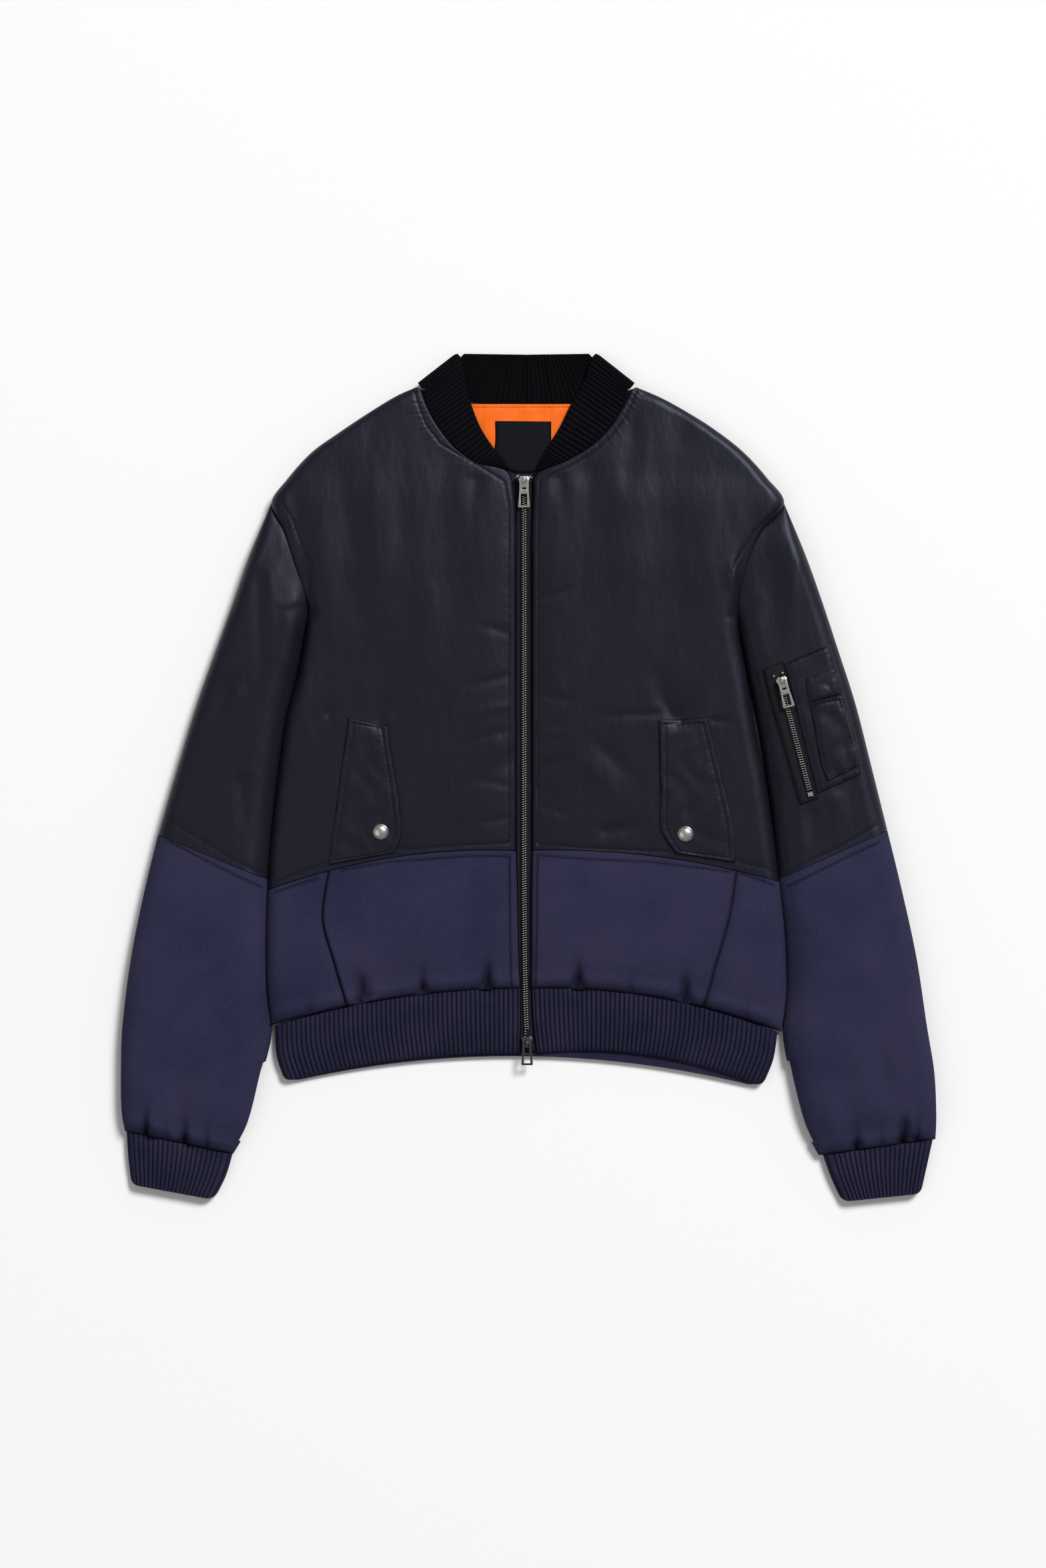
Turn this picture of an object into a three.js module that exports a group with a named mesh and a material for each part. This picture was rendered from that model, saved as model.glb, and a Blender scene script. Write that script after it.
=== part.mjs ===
// A bomber jacket lying flat on its back, front up, zipped, with the collar towards +Y.
// Millimetres, +Z up. The origin is on the surface it lies on, under the middle of its outline.
// "Right" and "left" are the wearer's, so the right half of the jacket has negative x.
import * as THREE from "three";

// Clearances and layers. The jacket is wadded, and its front lies on its back, as laid out.
const SEAM = 0.4; // between two pieces that are sewn together
const LIFT = 0.4; // between a piece and the flat panel that it lies on
const PATCH_LIFT = 0.85; // the same on a curved one
const BACK_LAYER = 9.5; // shell, wadding and lining of the back
const FRONT_BOTTOM = BACK_LAYER + SEAM;
const NECK_LAYER = 7.5; // the back is thinner at the neck
const HEM_LAYER = 5.4; // doubled rib knit
const PATCH_WALL = 1.6; // a flap or patch, turned and stitched
const RIB_PITCH = 4.9;
const RIB_RELIEF = 0.7;

// How far in from an edge a surface is round
const SIDE_ROUND = 15;
const UNDER_ROUND = 13;
const CENTRE_ROUND = 4;
const CENTRE_STEP = 4; // the front turns down this far beside the zip
const ZIP_VALLEY = 3; // and sinks this far towards it
const ZIP_X = -4;

const table = (columns, rows) =>
  rows.map((row) => Object.fromEntries(columns.map((name, i) => [name, row[i]])));

// Each row is a line across one front, from its outer edge to the zip or neckline.
// bow lifts the middle of the line. edge and under are the heights of the front's and the back's
// outer edges, which are apart at the armhole, and rise is the height of the front.
const FRONT_COLUMNS = ["outX", "outY", "inX", "inY", "bow", "edge", "under", "rise"];
const FRONT = {
  right: table(FRONT_COLUMNS, [
    [-245, -105.5, -11.5, -68.5, 12, 10.7, 8.8, 23],
    [-242, -61.5, -11.5, -39, 8, 10.7, 8.8, 24],
    [-236, -8, -11.5, 5, 4, 10.7, 8.8, 24.5],
    [-227, 56, -11.5, 61, 0, 10.7, 8.8, 25],
    [-215, 102, -11.5, 105, 0, 10.7, 8.8, 25],
    [-207, 147.5, -11.5, 149, 0, 12, 7, 25],
    [-209, 171, -11.5, 180, 0, 17, 2, 25],
    [-218.5, 199, -11.5, 208, 0, 19, 0.5, 25],
    [-229, 230, -11.5, 236, 0, 18, 2, 24],
    [-241, 257, -13, 264.5, 2, 11.5, 8, 23],
    [-226.5, 279.5, -19, 286.5, 5, 10.7, 8.8, 21],
    [-204.5, 304, -47, 294, 4, 10.7, 8.8, 20],
    [-180, 322, -68.5, 309, 3, 10.7, 8.8, 19],
    [-150, 342, -84, 328.5, 2, 10.7, 8.8, 18],
    [-124.5, 357.5, -93.5, 345, 1, 10.7, 8.8, 17],
    [-105.5, 366, -100.5, 363.5, 0, 10.7, 8.8, 15],
  ]),
  left: table(FRONT_COLUMNS, [
    [235.5, -97.5, 3.5, -68, 9, 10.7, 8.8, 23],
    [230.5, -56.5, 3.5, -39, 6, 10.7, 8.8, 24],
    [223.5, -7.5, 3.5, 5, 3, 10.7, 8.8, 24.5],
    [214, 42, 3.5, 50, 0, 10.7, 8.8, 25],
    [205.5, 92.5, 3.5, 97, 0, 10.7, 8.8, 25],
    [197.5, 137.5, 3.5, 142, 0, 12, 7, 25],
    [197.5, 167.5, 3.5, 176, 0, 17, 2, 25],
    [204, 197, 3.5, 206, 0, 19, 0.5, 25],
    [217.5, 228, 3.5, 236, 0, 18, 2, 24],
    [240, 256.5, 5, 264.5, 2, 11.5, 8, 23],
    [224, 281, 7.5, 284, 4, 10.7, 8.8, 21],
    [201, 306, 33, 295.5, 4, 10.7, 8.8, 20],
    [174, 327, 57, 309.5, 3, 10.7, 8.8, 19],
    [149.5, 342.5, 74.5, 326, 2, 10.7, 8.8, 18],
    [125, 356, 87, 345, 1, 10.7, 8.8, 17],
    [101.5, 366, 96.5, 363.5, 0, 10.7, 8.8, 15],
  ]),
};
const UNDERARM = 5; // the row where the armhole seam meets the side
const SHOULDER_TIP = 9;
const NECK_CORNER = 10; // the row where the zip meets the neckline
const NECK_POINT = 15;
const BACK_WAIST_BOW = 32.5; // the back's lines are fuller than the front's, as they hang
const BACK_HEM_BOW = 36.5;
const BACK_FOLD_BOW = 26; // at the hem rib's folded edge
const BACK_NECK_BOW = -18;

// The navy lower panels, from the waist seam down to the hem rib. pocketX is the pocket seam.
const LOWER_COLUMNS = [...FRONT_COLUMNS, "pocketX"];
const LOWER = {
  right: table(LOWER_COLUMNS, [
    [-245, -106.3, -11.5, -69.3, 12, 10.7, 8.8, 23, -186.5],
    [-246, -147.5, -10.5, -114, 11, 10.7, 8.8, 23.5, -192],
    [-245.5, -190, -9.5, -160, 10, 10.7, 8.8, 22, -181],
    [-243.5, -215, -8.7, -183, 9, 10.7, 8.8, 19, -174],
    [-241, -233, -8, -198.5, 8.5, 10.7, 8.8, 13.5, -169],
  ]),
  left: table(LOWER_COLUMNS, [
    [235.5, -98.3, 3.5, -68.8, 9, 10.7, 8.8, 23, 195],
    [240.5, -145, 3, -114, 10, 10.7, 8.8, 23.5, 188],
    [242.5, -193, 3, -160, 11, 10.7, 8.8, 22, 175.5],
    [240.5, -220, 3, -183, 11.5, 10.7, 8.8, 19, 169],
    [237.5, -239, 3.2, -198.5, 12, 10.7, 8.8, 13.5, 163.5],
  ]),
};

// The hem rib, from its seam down to its folded edge
const HEM = {
  right: table(FRONT_COLUMNS, [
    [-238, -234.5, -8, -199.5, 8.5, 6.4, 5.2, 12.5],
    [-236.5, -262, -8, -230, 8.5, 6.4, 5.2, 12.5],
    [-228.5, -286, -8.5, -260, 7.5, 5.6, 4.8, 10.5],
  ]),
  left: table(FRONT_COLUMNS, [
    [234, -240.5, 3.5, -199.5, 12, 6.4, 5.2, 12.5],
    [230, -266, 5, -230, 12.5, 6.4, 5.2, 12.5],
    [219.5, -290.5, 8.5, -259.5, 13, 5.6, 4.8, 10.5],
  ]),
};

// Sleeves: each row runs from the outer edge to the inner edge beside the body.
// rise is the height of the middle; outerEdge and innerEdge are the heights of the two folded edges.
const SLEEVE_COLUMNS = ["outX", "outY", "inX", "inY", "rise", "outerEdge", "innerEdge"];
const SLEEVE_UPPER = {
  right: table(SLEEVE_COLUMNS, [
    [-244, 250, -209, 143, 22, 10, 6],
    [-261, 210.5, -213.2, 126, 24, 10, 4],
    [-276, 167.5, -216.5, 104, 24, 10, 4],
    [-294, 117.5, -221.5, 80, 24, 10, 4],
    [-311.5, 67.5, -228.2, 50, 24, 10, 4],
    [-329.5, 8.5, -236.8, -12, 24, 10, 4],
    [-347.5, -53.5, -244.5, -96, 24, 10, 4],
  ]),
  left: table(SLEEVE_COLUMNS, [
    [243, 250, 200, 134, 22, 10, 6],
    [259.5, 210.5, 202.5, 118, 24, 10, 4],
    [275, 167.5, 207.5, 94, 24, 10, 4],
    [291.5, 117.5, 212.5, 70, 24, 10, 4],
    [307.5, 67.5, 218.5, 38, 24, 10, 4],
    [322.5, 8.5, 228, -22, 24, 10, 4],
    [337, -49.5, 235.5, -95, 24, 10, 4],
  ]),
};
const SLEEVE_LOWER = {
  right: table(SLEEVE_COLUMNS, [
    [-347.5, -54, -244.5, -96.5, 24, 10, 4],
    [-360.5, -107.5, -246.5, -147, 25, 10, 4],
    [-373, -170, -246.5, -200, 25, 10, 4],
    [-381, -232.5, -243.5, -240, 25, 10, 5],
    [-382.5, -276, -252.5, -280.5, 24, 10, 9],
    [-382, -312, -264, -325, 22, 10, 9],
    [-379, -332.5, -279.5, -353.5, 13.5, 7, 7],
  ]),
  left: table(SLEEVE_COLUMNS, [
    [337, -50, 235.5, -95.5, 24, 10, 4],
    [351, -107.5, 241.5, -145, 25, 10, 4],
    [364.5, -170, 243.5, -195, 25, 10, 4],
    [374, -232.5, 241.5, -240, 25, 10, 5],
    [381, -276, 248, -279, 24, 10, 9],
    [383, -316, 260, -325, 22, 10, 9],
    [382.5, -340, 275, -355, 13.5, 7, 7],
  ]),
};
const CUFF = {
  right: table(SLEEVE_COLUMNS, [
    [-377.5, -333.5, -280.5, -354.5, 12, 5.5, 5.5],
    [-376, -357, -286.5, -374.5, 12, 5.5, 5.5],
    [-373, -382.5, -297.5, -396.5, 10.5, 5, 5],
  ]),
  left: table(SLEEVE_COLUMNS, [
    [380, -340.9, 279.5, -355.6, 12, 5.5, 5.5],
    [374.5, -366, 286.5, -375.5, 12, 5.5, 5.5],
    [369, -391, 297, -398.5, 10.5, 5, 5],
  ]),
};
const SLEEVE_WALL = 6; // in from the folded edges to the slot between the layers
const ARMHOLE_GAP = 1.4; // measured across, where the seam runs askew
const SLOT = 0.5; // between a sleeve's two layers
const SLEEVE_OUTER_ROUND = 16;
const SLEEVE_INNER_ROUND = 26;
const SLEEVE_UNDER_ROUND = 12;
const CUFF_RIBS = 21;
const CUFF_ROUND = 7;

// Soft folds in the outer surface: a trough or ridge from (x1, y1), where it is deepest, to (x2, y2).
const FOLDS = table(["x1", "y1", "x2", "y2", "width", "depth"], [
  [-205, 152, -222, 290, 8, -6], // beside the right armhole
  [-222, 160, -206, 262, 7, 2],
  [198, 150, 212, 275, 8, -6], // beside the left armhole
  [213, 165, 200, 268, 7, 2],
  [-141, 50, -118, 108, 9, -3], // above the pocket flaps
  [139, 52, 112, 118, 9, -3.5],
  [146, 55, 152, 98, 8, -2.5],
  [-12, 20, -62, -14, 11, -2.5], // pulls beside the zip
  [4, -8, 48, -34, 11, -2.5],
  [4, 36, 52, 50, 12, -2],
  [-152, -206, -166, -172, 9, -5], // gathers into the hem rib
  [-98, -206, -101, -188, 8, -4],
  [-42, -203, -35, -160, 9, -4],
  [47, -201, 55, -170, 9, -5],
  [148, -209, 155, -180, 9, -5],
  [-357, -338, -358, -318, 8, -4], // gathers into the cuffs
  [-322, -346, -316, -332, 8, -4],
  [308, -349, 303, -338, 8, -4],
  [352, -344, 354, -318, 9, -5],
  [365, -343, 366, -334, 7, -3],
]);
const GATHER_REACH = 6; // a fold runs on this far past its deep end

// Collar. Each row is a line across its front half, from the neckline to the free edge. seam is
// its place on the neckline, from 0 at the zip to 1 at the neck point, and then 2 at the middle
// of the back. Heights are of the middle of the rib's wall.
const COLLAR_COLUMNS = ["seam", "edgeX", "edgeY", "seamZ", "edgeZ"];
const COLLAR_FRONT = {
  right: table(COLLAR_COLUMNS, [
    [0.03, -17.5, 289.5, 13.4, 13.2],
    [0.12, -24, 299, 13.6, 13],
    [0.24, -34, 311, 13.8, 12.8],
    [0.42, -45, 328.5, 13.8, 12.6],
    [0.6, -53.5, 350, 13.6, 11.6],
    [0.78, -58.5, 368, 13.4, 8.8],
    [0.93, -61, 384, 13, 8.4],
  ]),
  left: table(COLLAR_COLUMNS, [
    [0.03, 8, 289.5, 13.4, 13.2],
    [0.12, 12, 299, 13.6, 13],
    [0.24, 18.5, 311, 13.8, 12.8],
    [0.42, 29.5, 328.5, 13.8, 12.6],
    [0.6, 40, 350, 13.6, 11.6],
    [0.78, 51, 368, 13.4, 8.8],
    [0.93, 56.5, 384, 13, 8.4],
  ]),
};
// Where the collar turns over at the side of the neck: the axis of the turn, at the neckline and at the free edge
const COLLAR_TURN = {
  right: { seamX: -97, seamY: 365.5, edgeX: -63.5, edgeY: 394.5, seamZ: 13, edgeZ: 8.4 },
  left: { seamX: 93, seamY: 365.5, edgeX: 60, edgeY: 394.5, seamZ: 13, edgeZ: 8.4 },
};
const COLLAR_TOP = { y: 398.3, sag: 0.9 };
const COLLAR_WALL = 4;
const COLLAR_RIBS = { front: 32, turn: 3, back: 33 };
const COLLAR_RELIEF = 0.5;

// The zip: the chain's x, the tapes' outer edges and the height of their faces, at each y
const ZIP_LINE = table(["y", "x", "rightX", "leftX", "z"], [
  [284, -4, -10.8, 2.8, 14.5],
  [230, -4, -10.8, 2.8, 15.5],
  [120, -4, -10.8, 2.8, 16],
  [0, -4, -10.8, 2.8, 16],
  [-69, -4, -10.6, 2.7, 15],
  [-114, -4, -9.7, 2.2, 14.5],
  [-155, -3.7, -8.9, 2.2, 13.5],
  [-182, -3.3, -8, 2.2, 11.5],
  [-197, -3, -7.3, 2.5, 9.8],
  [-215, -2.6, -7.2, 3, 9],
  [-236, -1.9, -7.2, 4.4, 8.8],
  [-257, -1, -7.7, 6.8, 8.2],
]);
const CHAIN_WIDTH = 5.8;
const CHAIN_HEIGHT = 2.4;
const CHAIN_TOP_Y = 271;
const CHAIN_BOTTOM_Y = -241.5;
const TAPE_WALL = 1.2;

// A slider points along its own y axis. Its bail is the arch that the pull's end bar lies under,
// at hinge along that axis. tilt is how far the pull leans down at rest, in degrees.
const SLIDER = { length: 11, shoulder: 10.6, waist: 8, height: 4.2 };
const BAIL = { length: 7, width: 2.4, height: 3.6, bar: 1, gap: 0.4 };
const PULL = { top: 8.6, bottom: 11, wall: 1.4, bar: 1.5, window: 4.2, windowLength: 8.5, lowWindow: 6, lowShare: 0.4 };
const SLIDERS = table(["name", "x", "y", "z", "turn", "hinge", "tilt", "pull"], [
  ["top", -4, 276.8, 14.8, 0, 2.2, 3, 27],
  ["bottom", -1.2, -248.5, 8.9, 0, -1.6, 6, 21],
  ["sleeve", 237.4, 88.5, 26.8, 15, 2.2, 3, 27],
]);

// Flaps and patches that lie on the fronts and the left sleeve: each row is a line across the piece.
const PATCH_COLUMNS = ["x1", "y1", "x2", "y2"];
const FLAP = {
  right: table(PATCH_COLUMNS, [
    [-168, 55.5, -132.5, 47.5],
    [-173, 19.5, -127.5, 17],
    [-178, -17, -122, -17],
    [-183, -54.5, -119, -50],
    [-186.5, -82, -124, -70],
  ]),
  left: table(PATCH_COLUMNS, [
    [122.5, 53.5, 167.5, 55],
    [123, 17.5, 176, 19.5],
    [124, -17, 185, -17],
    [124.5, -49, 191.5, -48],
    [138, -71, 193.5, -80],
  ]),
};
const SNAPS = { right: { x: -138, y: -51 }, left: { x: 147, y: -53 } };
const SNAP_RADIUS = 7;
const SNAP_HEIGHT = 3;

const SLEEVE_POCKET = table(PATCH_COLUMNS, [
  [239.8, 106.5, 282, 124],
  [248.8, 72, 292, 93],
  [257, 40, 301, 59],
  [265, 8, 309.5, 26],
  [270.9, -15, 313, 4],
]);
const ZIP_WELT = table(PATCH_COLUMNS, [
  [219, 100.5, 238.5, 108.5],
  [227, 67, 247.2, 74],
  [240.5, 21, 259.2, 27.5],
  [254, -26, 271, -20],
]);
const PEN_FLAP = table(PATCH_COLUMNS, [
  [259.5, 92.5, 286, 100],
  [261, 80, 290, 88],
  [263, 70, 293, 78],
]);
const PEN_POCKET = table(PATCH_COLUMNS, [
  [264, 68, 293, 75.5],
  [268.5, 42, 300, 50.5],
  [273, 18, 306, 28],
  [279.5, -3.5, 308.5, 11],
]);
const SLEEVE_CHAIN = table(PATCH_COLUMNS, [
  [234.5, 81.5, 240.2, 83],
  [247.5, 32.5, 253.2, 34],
  [259.8, -13.5, 265.5, -12],
]);
const LINING = table(PATCH_COLUMNS, [
  [-12, 287, 3, 287],
  [-42, 307, 27, 307],
  [-60, 326, 50, 326],
  [-70, 340, 62, 340],
  [-66, 350.5, 60, 350.5],
]);
const LABEL = table(PATCH_COLUMNS, [
  [-31.3, 296, 21.5, 296],
  [-31, 315, 21.5, 315],
  [-31, 334.5, 21.5, 334],
]);
const LABEL_WALL = 0.8;

// Small maths
const mix = (a, b, t) => a + (b - a) * t;
const clamp = (t) => Math.min(1, Math.max(0, t));
const smooth = (t) => clamp(t) ** 2 * (3 - 2 * clamp(t));
const quarterRound = (t) => Math.sqrt(1 - (1 - clamp(t)) ** 2); // a quarter circle, from 0 to 1
const bunched = (t) => (1 - Math.cos(Math.PI * t)) / 2; // closer together at both ends
const steps = (count) => Array.from({ length: count + 1 }, (_, i) => i / count);

// A smooth curve through a table's rows: the columns at a place between rows 0 and n.
function along(rows, place) {
  const at = (i) => rows[Math.min(rows.length - 1, Math.max(0, i))];
  const i = Math.min(rows.length - 2, Math.max(0, Math.floor(place)));
  const t = place - i;
  const result = {};
  for (const name of Object.keys(rows[0])) {
    const [a, b, c, d] = [at(i - 1)[name], at(i)[name], at(i + 1)[name], at(i + 2)[name]];
    const [fromB, fromC] = [(c - a) / 2, (d - b) / 2];
    result[name] =
      b * (2 * t ** 3 - 3 * t ** 2 + 1) +
      fromB * (t ** 3 - 2 * t ** 2 + t) +
      c * (3 * t ** 2 - 2 * t ** 3) +
      fromC * (t ** 3 - t ** 2);
  }
  return result;
}

// The folds' depth at a place. A gather is deepest at its seam and fades out along its length.
function folded(x, y) {
  let depth = 0;
  for (const f of FOLDS) {
    const [dx, dy] = [f.x2 - f.x1, f.y2 - f.y1];
    const length = Math.hypot(dx, dy);
    const t = ((x - f.x1) * dx + (y - f.y1) * dy) / length ** 2;
    const beside = ((x - f.x1) * dy - (y - f.y1) * dx) / length / f.width;
    const start = smooth(1 + (t * length) / GATHER_REACH);
    depth += f.depth * Math.exp(-(beside ** 2)) * start * (1 - smooth(t));
  }
  return depth;
}

const vec = (x, y, z) => new THREE.Vector3(x, y, z);
const rowPoint = (row, s) => ({
  x: mix(row.outX, row.inX, s),
  y: mix(row.outY, row.inY, s) + 4 * (row.bow ?? 0) * s * (1 - s),
  width: Math.hypot(row.inX - row.outX, row.inY - row.outY),
});

// The rows of a front that its wall is built on. What is sewn to it follows the straight lines between them.
const FRONT_PLACES = [0, 0.8, 1.6, 2.4, 3.1, 3.7, 4.3, 5, 5.5, 6, 6.5, 7, 7.5, 8, 8.5, 9, 9.5, 10, 10.5, 11, 12, 13, 14, 15];
function betweenRows(rows, place) {
  const after = Math.max(1, FRONT_PLACES.findIndex((next) => next >= place));
  const [a, b] = [FRONT_PLACES[after - 1], FRONT_PLACES[after]];
  const [from, to] = [along(rows, a), along(rows, b)];
  const t = (place - a) / (b - a);
  return Object.fromEntries(Object.keys(from).map((name) => [name, mix(from[name], to[name], t)]));
}

// The height of a front at share s of a row, from its outer edge to its centre edge
function frontHeight(row, s, { x, y, width } = rowPoint(row, s), sideRound = SIDE_ROUND) {
  const side = quarterRound((s * width) / Math.min(sideRound, 0.6 * width));
  const centre = quarterRound(((1 - s) * width) / Math.min(CENTRE_ROUND, 0.3 * width));
  const valley = ZIP_VALLEY * Math.exp(-(((x - ZIP_X) / 20) ** 2)) * clamp((row.rise - 13) / 5);
  const step = CENTRE_STEP * clamp((row.rise - 8) / 12) * (1 - centre);
  const plain = row.rise + folded(x, y) - valley - step;
  return Math.max(row.edge, mix(row.edge, plain, side));
}

function frontPoint(row, s) {
  const place = rowPoint(row, s);
  return {
    outer: vec(place.x, place.y, frontHeight(row, s, place)),
    inner: vec(place.x, place.y, FRONT_BOTTOM),
  };
}

// The back at share s of a line from the right edge to the left edge. outer is its underside.
function backPoint(right, left, s, bow, layer) {
  const width = left.outX - right.outX;
  const x = mix(right.outX, left.outX, s);
  const y = mix(right.outY, left.outY, s) + 4 * bow * s * (1 - s);
  const near = Math.min(s, 1 - s) * width;
  const edge = s < 0.5 ? right.under : left.under;
  return {
    outer: vec(x, y, edge * (1 - quarterRound(near / Math.min(UNDER_ROUND, 0.4 * width)))),
    inner: vec(x, y, layer),
  };
}

// The armhole seam at share s, from the shoulder tip to the underarm
const armhole = (side, s) => betweenRows(FRONT[side], mix(SHOULDER_TIP, UNDERARM, s));

// A sleeve's section: round from its outer edge over the top to the inner edge and back beneath.
// A ring's place runs from 0 at the outer edge, by 1 at the inner edge, to 2.
function sleevePoint(row, place, top, rounds = [SLEEVE_OUTER_ROUND, SLEEVE_INNER_ROUND, SLEEVE_UNDER_ROUND]) {
  const { x, y, width } = rowPoint(row, place);
  const edge = mix(row.outerEdge, row.innerEdge, place);
  const near = quarterRound((place * width) / Math.min(top ? rounds[0] : rounds[2], 0.45 * width));
  const far = quarterRound(((1 - place) * width) / Math.min(top ? rounds[1] : rounds[2], 0.45 * width));
  return vec(x, y, top ? mix(edge, row.rise + folded(x, y), near * far) : edge * (1 - near * far));
}

function sleeveRing(side, row, topPlaces, underPlaces, { head = 0, rounds, relief = () => 0 } = {}) {
  const { width } = rowPoint(row, 0);
  const sign = side === "right" ? -1 : 1;
  const surface = (place, top) => {
    const point = sleevePoint(row, place, top, rounds);
    if (!head) return point;
    const seam = armhole(side, place);
    const end = Math.min(place, 1 - place) < 1e-6;
    const height = end ? (seam.edge + seam.under) / 2 : top ? seam.edge : seam.under;
    return point.lerp(vec(seam.outX + sign * ARMHOLE_GAP, seam.outY, height), head);
  };
  const ring = (place, top, i) => {
    const inward = mix(SLEEVE_WALL / width, 1 - SLEEVE_WALL / width, place);
    const outer = surface(place, top);
    const [above, below] = [surface(inward, true), surface(inward, false)];
    const end = place === 0 || place === 1;
    const inner = above.clone().lerp(below, 0.5);
    inner.z += end ? 0 : top ? SLOT / 2 : -SLOT / 2;
    if (!end && top) outer.z += relief(i, place);
    return { outer, inner };
  };
  return [
    ...topPlaces.map((place, i) => ring(place, true, i)),
    ...underPlaces.slice(1, -1).reverse().map((place) => ring(place, false, 0)),
  ];
}

// The height of built pieces at a place, from straight above
function heightOf(...meshes) {
  const down = new THREE.Raycaster(vec(0, 0, 0), vec(0, 0, -1));
  return (x, y) => {
    down.ray.origin.set(x, y, 200);
    return Math.max(...meshes.flatMap((mesh) => down.intersectObject(mesh).map((hit) => hit.point.z)));
  };
}

// A patch that lies on built pieces, at a lift above them. edgeLift is more lift where the surface
// below falls away at its far edge.
function patch(rows, surface, lift, thickness, [down, across], edgeLift = 0) {
  return wall(
    steps(down).map((v) => {
      const row = along(rows, v * (rows.length - 1));
      return steps(across).map((u) => {
        const [x, y] = [mix(row.x1, row.x2, u), mix(row.y1, row.y2, u)];
        const z = surface(x, y) + lift + edgeLift * u ** 4;
        return { outer: vec(x, y, z + thickness), inner: vec(x, y, z) };
      });
    }),
  );
}

// A closed wall between two grids of points with the same rows and columns. A ring's last column
// joins its first.
function wall(grid, ring = false) {
  const [rows, columns] = [grid.length, grid[0].length];
  const points = grid.flat().map((p) => p.outer).concat(grid.flat().map((p) => p.inner));
  const half = rows * columns;
  const faces = [];
  const quad = (a, b, c, d) => faces.push(a, b, c, a, c, d);
  const id = (i, j) => i * columns + (j % columns);
  const across = ring ? columns : columns - 1;
  for (let i = 0; i < rows - 1; i++)
    for (let j = 0; j < across; j++) {
      quad(id(i, j), id(i, j + 1), id(i + 1, j + 1), id(i + 1, j));
      quad(half + id(i, j), half + id(i + 1, j), half + id(i + 1, j + 1), half + id(i, j + 1));
    }
  for (let j = 0; j < across; j++) {
    quad(id(0, j + 1), id(0, j), half + id(0, j), half + id(0, j + 1));
    quad(id(rows - 1, j), id(rows - 1, j + 1), half + id(rows - 1, j + 1), half + id(rows - 1, j));
  }
  for (let i = 0; !ring && i < rows - 1; i++) {
    quad(id(i, 0), id(i + 1, 0), half + id(i + 1, 0), half + id(i, 0));
    quad(id(i + 1, columns - 1), id(i, columns - 1), half + id(i, columns - 1), half + id(i + 1, columns - 1));
  }
  return solid(points, faces);
}

// A geometry from points and faces, turned to face outwards
function solid(points, faces) {
  let volume = 0;
  for (let i = 0; i < faces.length; i += 3) {
    const [a, b, c] = [points[faces[i]], points[faces[i + 1]], points[faces[i + 2]]];
    volume += a.dot(new THREE.Vector3().crossVectors(b, c));
  }
  if (volume < 0) faces.reverse();
  const geometry = new THREE.BufferGeometry();
  geometry.setAttribute("position", new THREE.Float32BufferAttribute(points.flatMap((p) => p.toArray()), 3));
  geometry.setIndex(faces);
  geometry.computeVertexNormals();
  return geometry;
}

// Materials
const finish = (color, roughness, metalness = 0) =>
  new THREE.MeshStandardMaterial({ color, roughness, metalness });
const SATIN = finish(0x1c1d24, 0.45);
const SWEAT = finish(0x2c2d4a, 0.9);
const NAVY_RIB = finish(0x23243f, 0.95);
const BLACK_RIB = finish(0x0c0d12, 0.95);
const ORANGE_LINING = finish(0xff5a10, 0.5);
const LABEL_CLOTH = finish(0x101216, 0.7);
const ZIP_TAPE = finish(0x0d0e10, 0.85);
const BLACK_METAL = finish(0x1a1a1a, 0.35, 1);
const SILVER = finish(0xb8b6b2, 0.3, 1);

const jacket = new THREE.Group();
function add(name, geometry, material, parent = jacket) {
  const mesh = new THREE.Mesh(geometry, material);
  mesh.name = name;
  parent.add(mesh);
  return mesh;
}

// Fronts, backs and lower panels
const SIDES = ["right", "left"];
const SIGN = { right: -1, left: 1 };
const fronts = {};
const sleeves = {};
for (const side of SIDES) {
  const grid = FRONT_PLACES.map((place) => steps(12).map((u) => frontPoint(along(FRONT[side], place), bunched(u))));
  fronts[side] = add("front_upper_" + side, wall(grid), SATIN);
}

const backLayer = (y) => mix(BACK_LAYER, NECK_LAYER, smooth((y - 262) / 20));
const backUpper = FRONT_PLACES.map((place) => {
  const [right, left] = SIDES.map((side) => along(FRONT[side], place));
  const v = place / NECK_POINT;
  const bow = mix(BACK_WAIST_BOW * (1 - smooth(v * 2)), BACK_NECK_BOW, smooth(v * 3 - 2));
  return steps(12).map((u) => {
    const point = backPoint(right, left, bunched(u), bow, BACK_LAYER);
    point.inner.z = backLayer(point.inner.y);
    return point;
  });
});
add("back_upper", wall(backUpper), SATIN);

// A lower front is cut in two at the pocket seam.
function lowerGrid(rows, part, down, across) {
  return steps(down).map((v) => {
    const row = along(rows, v * (rows.length - 1));
    const width = Math.abs(row.inX - row.outX);
    const seam = Math.abs(row.pocketX - row.outX) / width;
    const gap = SEAM / 2 / width;
    return steps(across).map((u) =>
      part === "side"
        ? frontPoint(row, (seam - gap) * (1 - Math.cos((u * Math.PI) / 2)))
        : frontPoint(row, mix(seam + gap, 1, Math.sin((u * Math.PI) / 2))),
    );
  });
}
for (const side of SIDES) {
  add("side_lower_" + side, wall(lowerGrid(LOWER[side], "side", 7, 5)), SWEAT);
  add("front_lower_" + side, wall(lowerGrid(LOWER[side], "front", 7, 9)), SWEAT);
}
const backLower = [0, 0.25, 0.5, 0.75, 0.9, 1].map((v) => {
  const [right, left] = SIDES.map((side) => along(LOWER[side], v * 4));
  const layer = mix(BACK_LAYER, HEM_LAYER, smooth((v - 0.75) / 0.15));
  return steps(12).map((u) => {
    const point = backPoint(right, left, bunched(u), mix(BACK_WAIST_BOW, BACK_HEM_BOW, v), layer);
    point.outer.z = Math.min(point.outer.z, layer - 0.7);
    return point;
  });
});
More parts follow.
